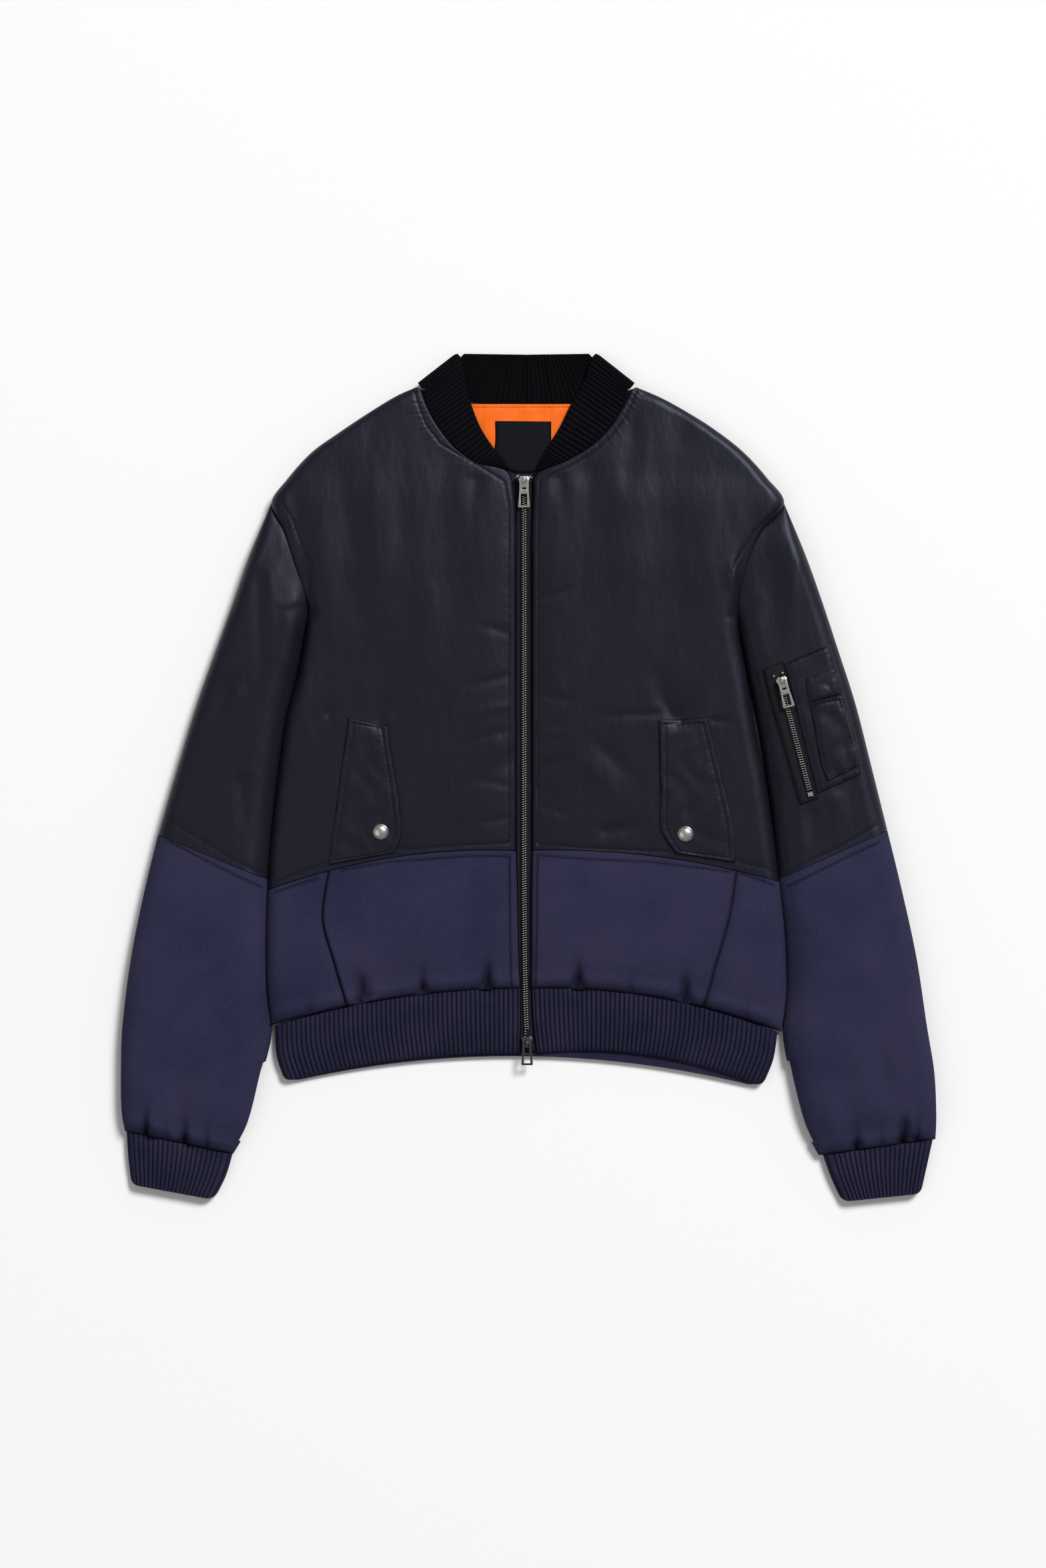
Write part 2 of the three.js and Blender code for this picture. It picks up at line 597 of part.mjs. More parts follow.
add("back_lower", wall(backLower), SWEAT);

// Hem rib: one band from the zip round the back to the zip. The ribs stand on its front.
const HEM_RIBS = Math.round(228 / RIB_PITCH);
const HEM_SIDE_WALL = 6;
const hemRib = steps(2).map((v) => {
  const [right, left] = SIDES.map((side) => along(HEM[side], v * 2));
  const front = (row, sign) =>
    steps(HEM_RIBS * 2).map((u, i) => {
      const { x, y, width } = rowPoint(row, 1 - u);
      const z = frontHeight(row, 1 - u, { x, y, width }, 8);
      const raised = (i % 2 ? -1 : 1) * RIB_RELIEF * clamp((1 - u) * 20);
      return {
        outer: vec(x, y, z + raised),
        inner: vec(x - sign * HEM_SIDE_WALL * u ** 3, y, HEM_LAYER + SEAM),
      };
    });
  const under = steps(12).slice(1, -1).map((u) => {
    const point = backPoint(right, left, bunched(u), mix(BACK_HEM_BOW, BACK_FOLD_BOW, v), HEM_LAYER);
    point.inner.x = mix(right.outX + HEM_SIDE_WALL, left.outX - HEM_SIDE_WALL, bunched(u));
    return point;
  });
  return [...front(right, -1), ...under, ...front(left, 1).reverse()];
});
add("hem_rib", wall(hemRib), NAVY_RIB);

// Sleeves and cuffs
for (const side of SIDES) {
  const upper = steps(10).map((v) => {
    const row = along(SLEEVE_UPPER[side], v * 6);
    return sleeveRing(side, row, steps(10).map(bunched), steps(7).map(bunched), { head: 1 - smooth(v * 6) });
  });
  sleeves[side] = add("sleeve_upper_" + side, wall(upper, true), SATIN);
  const lower = steps(10).map((v) => {
    const row = along(SLEEVE_LOWER[side], v * 6);
    return sleeveRing(side, row, steps(11).map(bunched), steps(7).map(bunched));
  });
  add("sleeve_lower_" + side, wall(lower, true), SWEAT);
  const cuff = steps(2).map((v) => {
    const relief = (i, place) => (i % 2 ? -1 : 1) * RIB_RELIEF * clamp(Math.min(place, 1 - place) * 12);
    return sleeveRing(side, along(CUFF[side], v * 2), steps(CUFF_RIBS * 2), steps(8).map(bunched), {
      rounds: [CUFF_ROUND, CUFF_ROUND, CUFF_ROUND],
      relief,
    });
  });
  add("cuff_" + side, wall(cuff, true), NAVY_RIB);
}

// Collar: columns run from the zip up the front, over the turn and round the back.
// Each has its line across the band, the direction that its outer face points in and its visible face.
function collarColumns(side) {
  const sign = SIGN[side];
  const rows = COLLAR_FRONT[side];
  const turn = COLLAR_TURN[side];
  const neckline = (seam) => betweenRows(FRONT[side], mix(NECK_CORNER, NECK_POINT, seam));
  const columns = [];
  for (const u of steps(COLLAR_RIBS.front * 2)) {
    const row = along(rows, u * (rows.length - 1));
    const line = neckline(row.seam);
    const reach = 0.8 / Math.hypot(row.edgeX - line.inX, row.edgeY - line.inY);
    columns.push({
      seam: vec(mix(line.inX, row.edgeX, reach), mix(line.inY, row.edgeY, reach), row.seamZ),
      edge: vec(row.edgeX, row.edgeY, row.edgeZ),
      normal: vec(0, 0, 1),
      face: "outer",
    });
  }
  const across = vec(turn.edgeX - turn.seamX, turn.edgeY - turn.seamY, 0).normalize();
  const out = vec(sign * across.y, -sign * across.x, 0);
  for (const u of steps(COLLAR_RIBS.turn * 2)) {
    const angle = Math.PI * (0.5 - u);
    const end = (x, y, z) => {
      const radius = (z - COLLAR_WALL / 2) / 2;
      return vec(x, y, z - radius + radius * Math.sin(angle)).addScaledVector(out, radius * Math.cos(angle));
    };
    columns.push({
      seam: end(turn.seamX, turn.seamY, turn.seamZ),
      edge: end(turn.edgeX, turn.edgeY, turn.edgeZ),
      normal: vec(0, 0, Math.sin(angle)).addScaledVector(out, Math.cos(angle)),
      face: u < 0.5 ? "outer" : "",
    });
  }
  const backNeck = backUpper.at(-1).map((point) => point.outer);
  for (const u of steps(COLLAR_RIBS.back).slice(1)) {
    const middle = (COLLAR_TURN.right.seamX + COLLAR_TURN.left.seamX) / 2;
    const seamX = mix(turn.seamX, middle, u);
    const after = backNeck.findIndex((point) => point.x > seamX);
    const [a, b] = [backNeck[after - 1], backNeck[after]];
    const seamY = mix(a.y, b.y, (seamX - a.x) / (b.x - a.x)) + 0.6 + 1.5 * (1 - smooth(5 * u));
    const edgeX = mix(turn.edgeX, (COLLAR_TURN.right.edgeX + COLLAR_TURN.left.edgeX) / 2, u);
    columns.push({
      seam: vec(seamX, seamY, COLLAR_WALL / 2),
      edge: vec(edgeX, mix(turn.edgeY, COLLAR_TOP.y - COLLAR_TOP.sag * u, Math.min(1, 6 * u)), COLLAR_WALL / 2),
      normal: vec(0, 0, -1),
      face: "inner",
    });
  }
  return columns;
}
const collarLine = [...collarColumns("right"), ...collarColumns("left").reverse().slice(1)];
const collar = [0, 1].map((v) =>
  collarLine.map(({ seam, edge, normal, face }, i) => {
    const middle = seam.clone().lerp(edge, v);
    const point = {
      outer: middle.clone().addScaledVector(normal, COLLAR_WALL / 2),
      inner: middle.clone().addScaledVector(normal, -COLLAR_WALL / 2),
    };
    if (face) point[face].z += (i % 2 ? -1 : 1) * COLLAR_RELIEF;
    return point;
  }),
);
add("collar_rib", wall(collar), BLACK_RIB);

// Lining and label, where they show inside the neck
add("lining_back_neck", patch(LINING, (x, y) => backLayer(y), LIFT, 1, [6, 6]), ORANGE_LINING);
add("neck_label", patch(LABEL, () => NECK_LAYER, LIFT + 1 + LIFT, LABEL_WALL, [2, 2]), LABEL_CLOTH);

// Pocket flaps and their snaps
for (const side of SIDES) {
  const flap = add("pocket_flap_" + side, patch(FLAP[side], heightOf(fronts[side]), PATCH_LIFT, PATCH_WALL, [6, 6]), SATIN);
  const { x, y } = SNAPS[side];
  const snap = new THREE.CylinderGeometry(SNAP_RADIUS - 1.8, SNAP_RADIUS, SNAP_HEIGHT, 24).rotateX(Math.PI / 2);
  snap.translate(x, y, heightOf(flap)(x, y) + PATCH_LIFT + SNAP_HEIGHT / 2);
  add("snap_cap_" + side, snap, SILVER);
}

// Pocket on the left sleeve
const onSleeve = heightOf(sleeves.left);
const pocket = add("sleeve_pocket", patch(SLEEVE_POCKET, onSleeve, PATCH_LIFT, PATCH_WALL, [8, 8], 0.6), SATIN);
const welt = add("sleeve_zip_welt", patch(ZIP_WELT, onSleeve, PATCH_LIFT, PATCH_WALL, [8, 5]), ZIP_TAPE);
add("pen_flap", patch(PEN_FLAP, heightOf(pocket, sleeves.left), PATCH_LIFT, PATCH_WALL, [3, 5], 0.8), SATIN);
add("pen_pocket", patch(PEN_POCKET, heightOf(pocket, sleeves.left), PATCH_LIFT, PATCH_WALL, [6, 6], 0.8), SATIN);
add("sleeve_zip_chain", patch(SLEEVE_CHAIN, heightOf(welt), LIFT, CHAIN_HEIGHT, [7, 1]), SILVER);

// Front zip: each strip is built on the table's rows and its own two ends
const zipRow = (y) => {
  const after = Math.max(1, ZIP_LINE.findIndex((row) => row.y <= y));
  const [a, b] = [ZIP_LINE[after - 1], ZIP_LINE[after]];
  return Object.fromEntries(Object.keys(a).map((name) => [name, mix(a[name], b[name], (y - a.y) / (b.y - a.y))]));
};
const zipStrip = (fromY, toY, edges) => {
  const rows = [zipRow(fromY), ...ZIP_LINE.filter((row) => row.y < fromY && row.y > toY), zipRow(toY)];
  return wall(
    rows.map((row) => edges(row).map(({ x, bottom, top }) => ({ outer: vec(x, row.y, top), inner: vec(x, row.y, bottom) }))),
  );
};
const tape = (from, to) => (row) =>
  [from(row), to(row)].map((x) => ({ x, bottom: row.z - TAPE_WALL, top: row.z }));
const tapeTop = ZIP_LINE[0].y;
const tapeBottom = ZIP_LINE.at(-1).y;
add("zip_tape_right", zipStrip(tapeTop, tapeBottom, tape((row) => row.rightX, (row) => row.x - SEAM / 2)), ZIP_TAPE);
add("zip_tape_left", zipStrip(tapeTop, tapeBottom, tape((row) => row.x + SEAM / 2, (row) => row.leftX)), ZIP_TAPE);
const chain = (row) =>
  [-1, -0.5, 0.5, 1].map((share) => ({
    x: row.x + (share * CHAIN_WIDTH) / 2,
    bottom: row.z + LIFT,
    top: row.z + LIFT + CHAIN_HEIGHT * (Math.abs(share) === 1 ? 0.55 : 1),
  }));
add("zip_chain", zipStrip(CHAIN_TOP_Y, CHAIN_BOTTOM_Y, chain), SILVER);

// Sliders, their bails and the pulls that turn in them
const outline = (points) => new THREE.Shape(points.map(([x, y]) => new THREE.Vector2(x, y)));
const extrude = (shape, depth) => new THREE.ExtrudeGeometry(shape, { depth, bevelEnabled: false, curveSegments: 6 });
for (const row of SLIDERS) {
  const group = new THREE.Group();
  group.position.set(row.x, row.y, row.z + LIFT);
  group.rotation.z = THREE.MathUtils.degToRad(row.turn);
  jacket.add(group);
  const [half, shoulder, waist] = [SLIDER.length / 2, SLIDER.shoulder / 2, SLIDER.waist / 2];
  const body = outline([
    [-waist, -half], [waist, -half], [waist, -half + 4], [shoulder, half - 3], [shoulder - 1.5, half],
    [-shoulder + 1.5, half], [-shoulder, half - 3], [-waist, -half + 4],
  ]);
  const metal = row.name === "bottom" ? BLACK_METAL : SILVER;
  add(row.name + "_slider", extrude(body, SLIDER.height), metal, group);

  const [reach, foot] = [BAIL.length / 2, SLIDER.height + BAIL.gap];
  const [high, near, far] = [foot + BAIL.height, row.hinge - reach, row.hinge + reach];
  const arch = outline([
    [near, foot], [near + BAIL.bar, foot], [near + BAIL.bar + 0.6, high - BAIL.bar],
    [far - BAIL.bar - 0.6, high - BAIL.bar], [far - BAIL.bar, foot], [far, foot],
    [far - 0.8, high], [near + 0.8, high],
  ]);
  const bail = extrude(arch, BAIL.width).rotateX(Math.PI / 2).rotateZ(Math.PI / 2);
  bail.translate(-BAIL.width / 2, 0, 0);
  add(row.name + "_bail", bail, metal, group);

  const [top, bottom, bar, end] = [PULL.top / 2, PULL.bottom / 2, PULL.bar / 2, PULL.bar / 2 - row.pull];
  const tab = outline([
    [-top, bar], [-top, end * 0.4], [-bottom, end + 2], [-bottom + 2, end],
    [bottom - 2, end], [bottom, end + 2], [top, end * 0.4], [top, bar],
  ]);
  const window = (width, from, to) =>
    tab.holes.push(outline([[-width / 2, from], [width / 2, from], [width / 2, to], [-width / 2, to]]));
  window(PULL.window, -bar - PULL.windowLength, -bar);
  window(PULL.lowWindow, end + 1.8, end + 1.8 + PULL.lowShare * row.pull);
  const pull = add(row.name + "_pull", extrude(tab, PULL.wall).translate(0, 0, -PULL.wall / 2), metal, group);
  pull.position.set(0, row.hinge, foot + 1.2);
  pull.rotation.x = THREE.MathUtils.degToRad(row.tilt);
}

export default jacket;
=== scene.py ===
# A bomber jacket lying flat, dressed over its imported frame. Sizes in the tables are in millimetres.
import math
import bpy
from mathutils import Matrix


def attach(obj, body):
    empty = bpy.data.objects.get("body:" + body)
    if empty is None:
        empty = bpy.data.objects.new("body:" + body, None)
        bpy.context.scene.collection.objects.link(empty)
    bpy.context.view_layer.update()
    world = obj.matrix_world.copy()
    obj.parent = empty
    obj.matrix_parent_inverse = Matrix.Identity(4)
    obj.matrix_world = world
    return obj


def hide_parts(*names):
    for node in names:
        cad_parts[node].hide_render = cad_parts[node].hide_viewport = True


bl_info = {
    "name": "Bomber Jacket",
    "version": (1, 0, 0),
    "blender": (4, 5, 0),
    "location": "3D View > Sidebar > Jacket",
    "description": "Builds a wadded bomber jacket laid flat, with its rib knit, zips, flaps and stitching",
    "category": "Object",
}

import bmesh
import bpy
import numpy as np
from mathutils import Matrix, Vector
from mathutils.geometry import tessellate_polygon

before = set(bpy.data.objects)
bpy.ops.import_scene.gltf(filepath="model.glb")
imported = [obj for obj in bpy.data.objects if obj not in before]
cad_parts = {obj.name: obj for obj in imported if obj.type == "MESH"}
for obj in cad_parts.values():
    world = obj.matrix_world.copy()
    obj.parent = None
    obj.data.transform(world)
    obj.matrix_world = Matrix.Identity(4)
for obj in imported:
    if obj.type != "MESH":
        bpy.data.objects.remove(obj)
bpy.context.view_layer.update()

MM = 0.001
SIDES = ("right", "left")
SIGN = {"right": -1, "left": 1}

# Clearances and layers, as in the frame
SEAM = 0.4
BACK_LAYER = 9.5
FRONT_BOTTOM = BACK_LAYER + SEAM
NECK_LAYER = 7.5
HEM_LAYER = 5.4
PATCH_LIFT = 0.9
PATCH_WALL = 1.6
SIDE_ROUND = 15
UNDER_ROUND = 13
CENTRE_ROUND = 4
CENTRE_STEP = 4
ZIP_VALLEY = 3
ZIP_X = -4


def table(columns, rows):
    """Named columns of numbers from rows."""
    return dict(zip(columns, np.array(rows, float).T))


FRONT_COLUMNS = ("outX", "outY", "inX", "inY", "bow", "edge", "under", "rise")
FRONT = {
    "right": table(FRONT_COLUMNS, [
        (-245, -105.5, -11.5, -68.5, 12, 10.7, 8.8, 23),
        (-242, -61.5, -11.5, -39, 8, 10.7, 8.8, 24),
        (-236, -8, -11.5, 5, 4, 10.7, 8.8, 24.5),
        (-227, 56, -11.5, 61, 0, 10.7, 8.8, 25),
        (-215, 102, -11.5, 105, 0, 10.7, 8.8, 25),
        (-207, 147.5, -11.5, 149, 0, 12, 7, 25),
        (-209, 171, -11.5, 180, 0, 17, 2, 25),
        (-218.5, 199, -11.5, 208, 0, 19, 0.5, 25),
        (-229, 230, -11.5, 236, 0, 18, 2, 24),
        (-241, 257, -13, 264.5, 2, 11.5, 8, 23),
        (-226.5, 279.5, -19, 286.5, 5, 10.7, 8.8, 21),
        (-204.5, 304, -47, 294, 4, 10.7, 8.8, 20),
        (-180, 322, -68.5, 309, 3, 10.7, 8.8, 19),
        (-150, 342, -84, 328.5, 2, 10.7, 8.8, 18),
        (-124.5, 357.5, -93.5, 345, 1, 10.7, 8.8, 17),
        (-105.5, 366, -100.5, 363.5, 0, 10.7, 8.8, 15),
    ]),
    "left": table(FRONT_COLUMNS, [
        (235.5, -97.5, 3.5, -68, 9, 10.7, 8.8, 23),
        (230.5, -56.5, 3.5, -39, 6, 10.7, 8.8, 24),
        (223.5, -7.5, 3.5, 5, 3, 10.7, 8.8, 24.5),
        (214, 42, 3.5, 50, 0, 10.7, 8.8, 25),
        (205.5, 92.5, 3.5, 97, 0, 10.7, 8.8, 25),
        (197.5, 137.5, 3.5, 142, 0, 12, 7, 25),
        (197.5, 167.5, 3.5, 176, 0, 17, 2, 25),
        (204, 197, 3.5, 206, 0, 19, 0.5, 25),
        (217.5, 228, 3.5, 236, 0, 18, 2, 24),
        (240, 256.5, 5, 264.5, 2, 11.5, 8, 23),
        (224, 281, 7.5, 284, 4, 10.7, 8.8, 21),
        (201, 306, 33, 295.5, 4, 10.7, 8.8, 20),
        (174, 327, 57, 309.5, 3, 10.7, 8.8, 19),
        (149.5, 342.5, 74.5, 326, 2, 10.7, 8.8, 18),
        (125, 356, 87, 345, 1, 10.7, 8.8, 17),
        (101.5, 366, 96.5, 363.5, 0, 10.7, 8.8, 15),
    ]),
}
UNDERARM = 5
SHOULDER_TIP = 9
NECK_CORNER = 10
NECK_POINT = 15
BACK_WAIST_BOW = 32.5
BACK_HEM_BOW = 36.5
BACK_FOLD_BOW = 26
BACK_NECK_BOW = -18

LOWER_COLUMNS = FRONT_COLUMNS + ("pocketX",)
LOWER = {
    "right": table(LOWER_COLUMNS, [
        (-245, -106.3, -11.5, -69.3, 12, 10.7, 8.8, 23, -186.5),
        (-246, -147.5, -10.5, -114, 11, 10.7, 8.8, 23.5, -192),
        (-245.5, -190, -9.5, -160, 10, 10.7, 8.8, 22, -181),
        (-243.5, -215, -8.7, -183, 9, 10.7, 8.8, 19, -174),
        (-241, -233, -8, -198.5, 8.5, 10.7, 8.8, 13.5, -169),
    ]),
    "left": table(LOWER_COLUMNS, [
        (235.5, -98.3, 3.5, -68.8, 9, 10.7, 8.8, 23, 195),
        (240.5, -145, 3, -114, 10, 10.7, 8.8, 23.5, 188),
        (242.5, -193, 3, -160, 11, 10.7, 8.8, 22, 175.5),
        (240.5, -220, 3, -183, 11.5, 10.7, 8.8, 19, 169),
        (237.5, -239, 3.2, -198.5, 12, 10.7, 8.8, 13.5, 163.5),
    ]),
}
HEM = {
    "right": table(FRONT_COLUMNS, [
        (-238, -234.5, -8, -199.5, 8.5, 6.4, 5.2, 12.5),
        (-236.5, -262, -8, -230, 8.5, 6.4, 5.2, 12.5),
        (-228.5, -286, -8.5, -260, 7.5, 5.6, 4.8, 10.5),
    ]),
    "left": table(FRONT_COLUMNS, [
        (234, -240.5, 3.5, -199.5, 12, 6.4, 5.2, 12.5),
        (230, -266, 5, -230, 12.5, 6.4, 5.2, 12.5),
        (219.5, -290.5, 8.5, -259.5, 13, 5.6, 4.8, 10.5),
    ]),
}
SLEEVE_COLUMNS = ("outX", "outY", "inX", "inY", "rise", "outerEdge", "innerEdge")
SLEEVE_UPPER = {
    "right": table(SLEEVE_COLUMNS, [
        (-244, 250, -209, 143, 22, 10, 6),
        (-261, 210.5, -213.2, 126, 24, 10, 4),
        (-276, 167.5, -216.5, 104, 24, 10, 4),
        (-294, 117.5, -221.5, 80, 24, 10, 4),
        (-311.5, 67.5, -228.2, 50, 24, 10, 4),
        (-329.5, 8.5, -236.8, -12, 24, 10, 4),
        (-347.5, -53.5, -244.5, -96, 24, 10, 4),
    ]),
    "left": table(SLEEVE_COLUMNS, [
        (243, 250, 200, 134, 22, 10, 6),
        (259.5, 210.5, 202.5, 118, 24, 10, 4),
        (275, 167.5, 207.5, 94, 24, 10, 4),
        (291.5, 117.5, 212.5, 70, 24, 10, 4),
        (307.5, 67.5, 218.5, 38, 24, 10, 4),
        (322.5, 8.5, 228, -22, 24, 10, 4),
        (337, -49.5, 235.5, -95, 24, 10, 4),
    ]),
}
SLEEVE_LOWER = {
    "right": table(SLEEVE_COLUMNS, [
        (-347.5, -54, -244.5, -96.5, 24, 10, 4),
        (-360.5, -107.5, -246.5, -147, 25, 10, 4),
        (-373, -170, -246.5, -200, 25, 10, 4),
        (-381, -232.5, -243.5, -240, 25, 10, 5),
        (-382.5, -276, -252.5, -280.5, 24, 10, 9),
        (-382, -312, -264, -325, 22, 10, 9),
        (-379, -332.5, -279.5, -353.5, 13.5, 7, 7),
    ]),
    "left": table(SLEEVE_COLUMNS, [
        (337, -50, 235.5, -95.5, 24, 10, 4),
        (351, -107.5, 241.5, -145, 25, 10, 4),
        (364.5, -170, 243.5, -195, 25, 10, 4),
        (374, -232.5, 241.5, -240, 25, 10, 5),
        (381, -276, 248, -279, 24, 10, 9),
        (383, -316, 260, -325, 22, 10, 9),
        (382.5, -340, 275, -355, 13.5, 7, 7),
    ]),
}
CUFF = {
    "right": table(SLEEVE_COLUMNS, [
        (-377.5, -333.5, -280.5, -354.5, 12, 5.5, 5.5),
        (-376, -357, -286.5, -374.5, 12, 5.5, 5.5),
        (-373, -382.5, -297.5, -396.5, 10.5, 5, 5),
    ]),
    "left": table(SLEEVE_COLUMNS, [
        (380, -340.9, 279.5, -355.6, 12, 5.5, 5.5),
        (374.5, -366, 286.5, -375.5, 12, 5.5, 5.5),
        (369, -391, 297, -398.5, 10.5, 5, 5),
    ]),
}
SLEEVE_WALL = 6
SLOT = 0.5
SLEEVE_ROUNDS = (16, 26, 12)
CUFF_ROUNDS = (7, 7, 7)
ARMHOLE_GAP = 0.2
TUCK = 2.4

COLLAR_COLUMNS = ("seam", "edgeX", "edgeY", "seamZ", "edgeZ")
COLLAR_FRONT = {
    "right": table(COLLAR_COLUMNS, [
        (0.03, -17.5, 289.5, 13.4, 13.2),
        (0.12, -24, 299, 13.6, 13),
        (0.24, -34, 311, 13.8, 12.8),
        (0.42, -45, 328.5, 13.8, 12.6),
        (0.6, -53.5, 350, 13.6, 11.6),
        (0.78, -58.5, 368, 13.4, 8.8),
        (0.93, -61, 384, 13, 8.4),
    ]),
    "left": table(COLLAR_COLUMNS, [
        (0.03, 8, 289.5, 13.4, 13.2),
        (0.12, 12, 299, 13.6, 13),
        (0.24, 18.5, 311, 13.8, 12.8),
        (0.42, 29.5, 328.5, 13.8, 12.6),
        (0.6, 40, 350, 13.6, 11.6),
        (0.78, 51, 368, 13.4, 8.8),
        (0.93, 56.5, 384, 13, 8.4),
    ]),
}
COLLAR_TURN = {
    "right": {"seam": (-97, 365.5, 13), "edge": (-63.5, 394.5, 8.4)},
    "left": {"seam": (93, 365.5, 13), "edge": (60, 394.5, 8.4)},
}
COLLAR_RIBS = {"front": 27, "corner": 2, "turn": 8, "half_back": 19.5}
COLLAR_TOP_Y = 398.3
COLLAR_SAG = 0.9
COLLAR_WALL = 4
COLLAR_RELIEF = 1.5
TURN_REACH = 2.4
HEM_HALF = 228
CUFF_RIBS = 21
RIB_CELLS = 8

ZIP_LINE = table(("y", "x", "rightX", "leftX", "z"), [
    (284, -4, -10.8, 2.8, 14.5),
    (230, -4, -10.8, 2.8, 15.5),
    (120, -4, -10.8, 2.8, 16),
    (0, -4, -10.8, 2.8, 16),
    (-69, -4, -10.6, 2.7, 15),
    (-114, -4, -9.7, 2.2, 14.5),
    (-155, -3.7, -8.9, 2.2, 13.5),
    (-182, -3.3, -8, 2.2, 11.5),
    (-197, -3, -7.3, 2.5, 9.8),
    (-215, -2.6, -7.2, 3, 9),
    (-236, -1.9, -7.2, 4.4, 8.8),
    (-257, -1, -7.7, 6.8, 8.2),
])
CHAIN_TOP_Y = 271
CHAIN_BOTTOM_Y = -241.5
TAPE_WALL = 1.2
NARROWEST_CUT = 0.01
TOOTH_SHIFT = 1.15
STITCH_HEIGHT = 0.05
SHARP_ANGLE = math.radians(55)
FLEECE_GRID = 0.0017
CORNER_ROUND = 9
RIB_TUCK = 2.2
RIB_REACH = 0.65

# Sliders, their bails and their pulls, in the frame's sizes
SLIDER = {"length": 11, "shoulder": 10.6, "waist": 8, "height": 4.2}
BAIL = {"length": 7, "width": 2.4, "height": 3.6, "bar": 1, "gap": 0.4}
PULL = {
    "top": 8.6, "bottom": 11, "wall": 1.4, "bar": 1.5, "window": 4.2, "window_length": 8.5, "low_window": 6,
    "low_share": 0.4,
}
SLIDERS = (
    # name, x, y, z, turn, hinge, tilt, pull's length, material slot
    ("top", -4, 276.8, 14.8, 0, 2.2, 3, 27, "silver_metal"),
    ("bottom", -1.2, -248.5, 8.9, 0, -1.6, 6, 21, "dark_metal"),
    ("sleeve", 237.4, 88.5, 26.8, 15, 2.2, 3, 27, "silver_metal"),
)
STOPS = {
    # length, width, x, y, turn in degrees
    "zip_stops": [(3.6, 2, -10, 282.3, 35), (3.6, 2, 2, 281.6, -35)],
    "sleeve_zip_stops": [(2.6, 2, 229.5, 94.5, 40), (2.6, 2, 237.6, 97.5, -20), (5.2, 4.4, 263.6, -16, 15)],
}

PATCH_COLUMNS = ("x1", "y1", "x2", "y2")
FLAP = {
    "right": table(PATCH_COLUMNS, [
        (-168, 55.5, -132.5, 47.5),
        (-173, 19.5, -127.5, 17),
        (-178, -17, -122, -17),
        (-183, -54.5, -119, -50),
        (-186.5, -82, -124, -70),
    ]),
    "left": table(PATCH_COLUMNS, [
        (122.5, 53.5, 167.5, 55),
        (123, 17.5, 176, 19.5),
        (124, -17, 185, -17),
        (124.5, -49, 191.5, -48),
        (138, -71, 193.5, -80),
    ]),
}
SNAPS = {"right": (-138, -51), "left": (147, -53)}
SNAP_PROFILE = [
    # radius and height, from the foot over the rim to the top
    (0, 0), (6.9, 0), (7.2, 0.35), (6.9, 0.8), (6.5, 0.95), (6.3, 1.4), (5.6, 2.1), (4.4, 2.75),
    (2.8, 3.2), (1.2, 3.4), (0, 3.45),
]
SLEEVE_POCKET = table(PATCH_COLUMNS, [
    (239.8, 106.5, 282, 124),
    (248.8, 72, 292, 93),
    (257, 40, 301, 59),
    (265, 8, 309.5, 26),
    (270.9, -15, 313, 4),
])
ZIP_WELT = table(PATCH_COLUMNS, [
    (219, 100.5, 238.5, 108.5),
    (227, 67, 247.2, 74),
    (240.5, 21, 259.2, 27.5),
    (254, -26, 271, -20),
])
PEN_FLAP = table(PATCH_COLUMNS, [
    (259.5, 92.5, 286, 100),
    (261, 80, 290, 88),
    (263, 70, 293, 78),
])
PEN_POCKET = table(PATCH_COLUMNS, [
    (264, 68, 293, 75.5),
    (268.5, 42, 300, 50.5),
    (273, 18, 306, 28),
    (279.5, -3.5, 308.5, 11),
])
SLEEVE_CHAIN = table(PATCH_COLUMNS, [
    (234.5, 81.5, 240.2, 83),
    (247.5, 32.5, 253.2, 34),
    (259.8, -13.5, 265.5, -12),
])
LINING = table(PATCH_COLUMNS, [
    (-12, 287, 3, 287),
    (-42, 307, 27, 307),
    (-60, 326, 50, 326),
    (-70, 340, 62, 340),
    (-66, 350.5, 60, 350.5),
])
LABEL = table(PATCH_COLUMNS, [
    (-12, 286.8, 3, 286.8),
    (-31.3, 296, 21.5, 296),
    (-31, 315, 21.5, 315),
    (-31, 334.5, 21.5, 334),
])
LABEL_WALL = 0.8
LABEL_LIFT = 1.8
LABEL_INSET = 1.4
LINING_INSET = 8.5
PEN_SNAP = (275.3, 79.4, 6.5, 0.8)

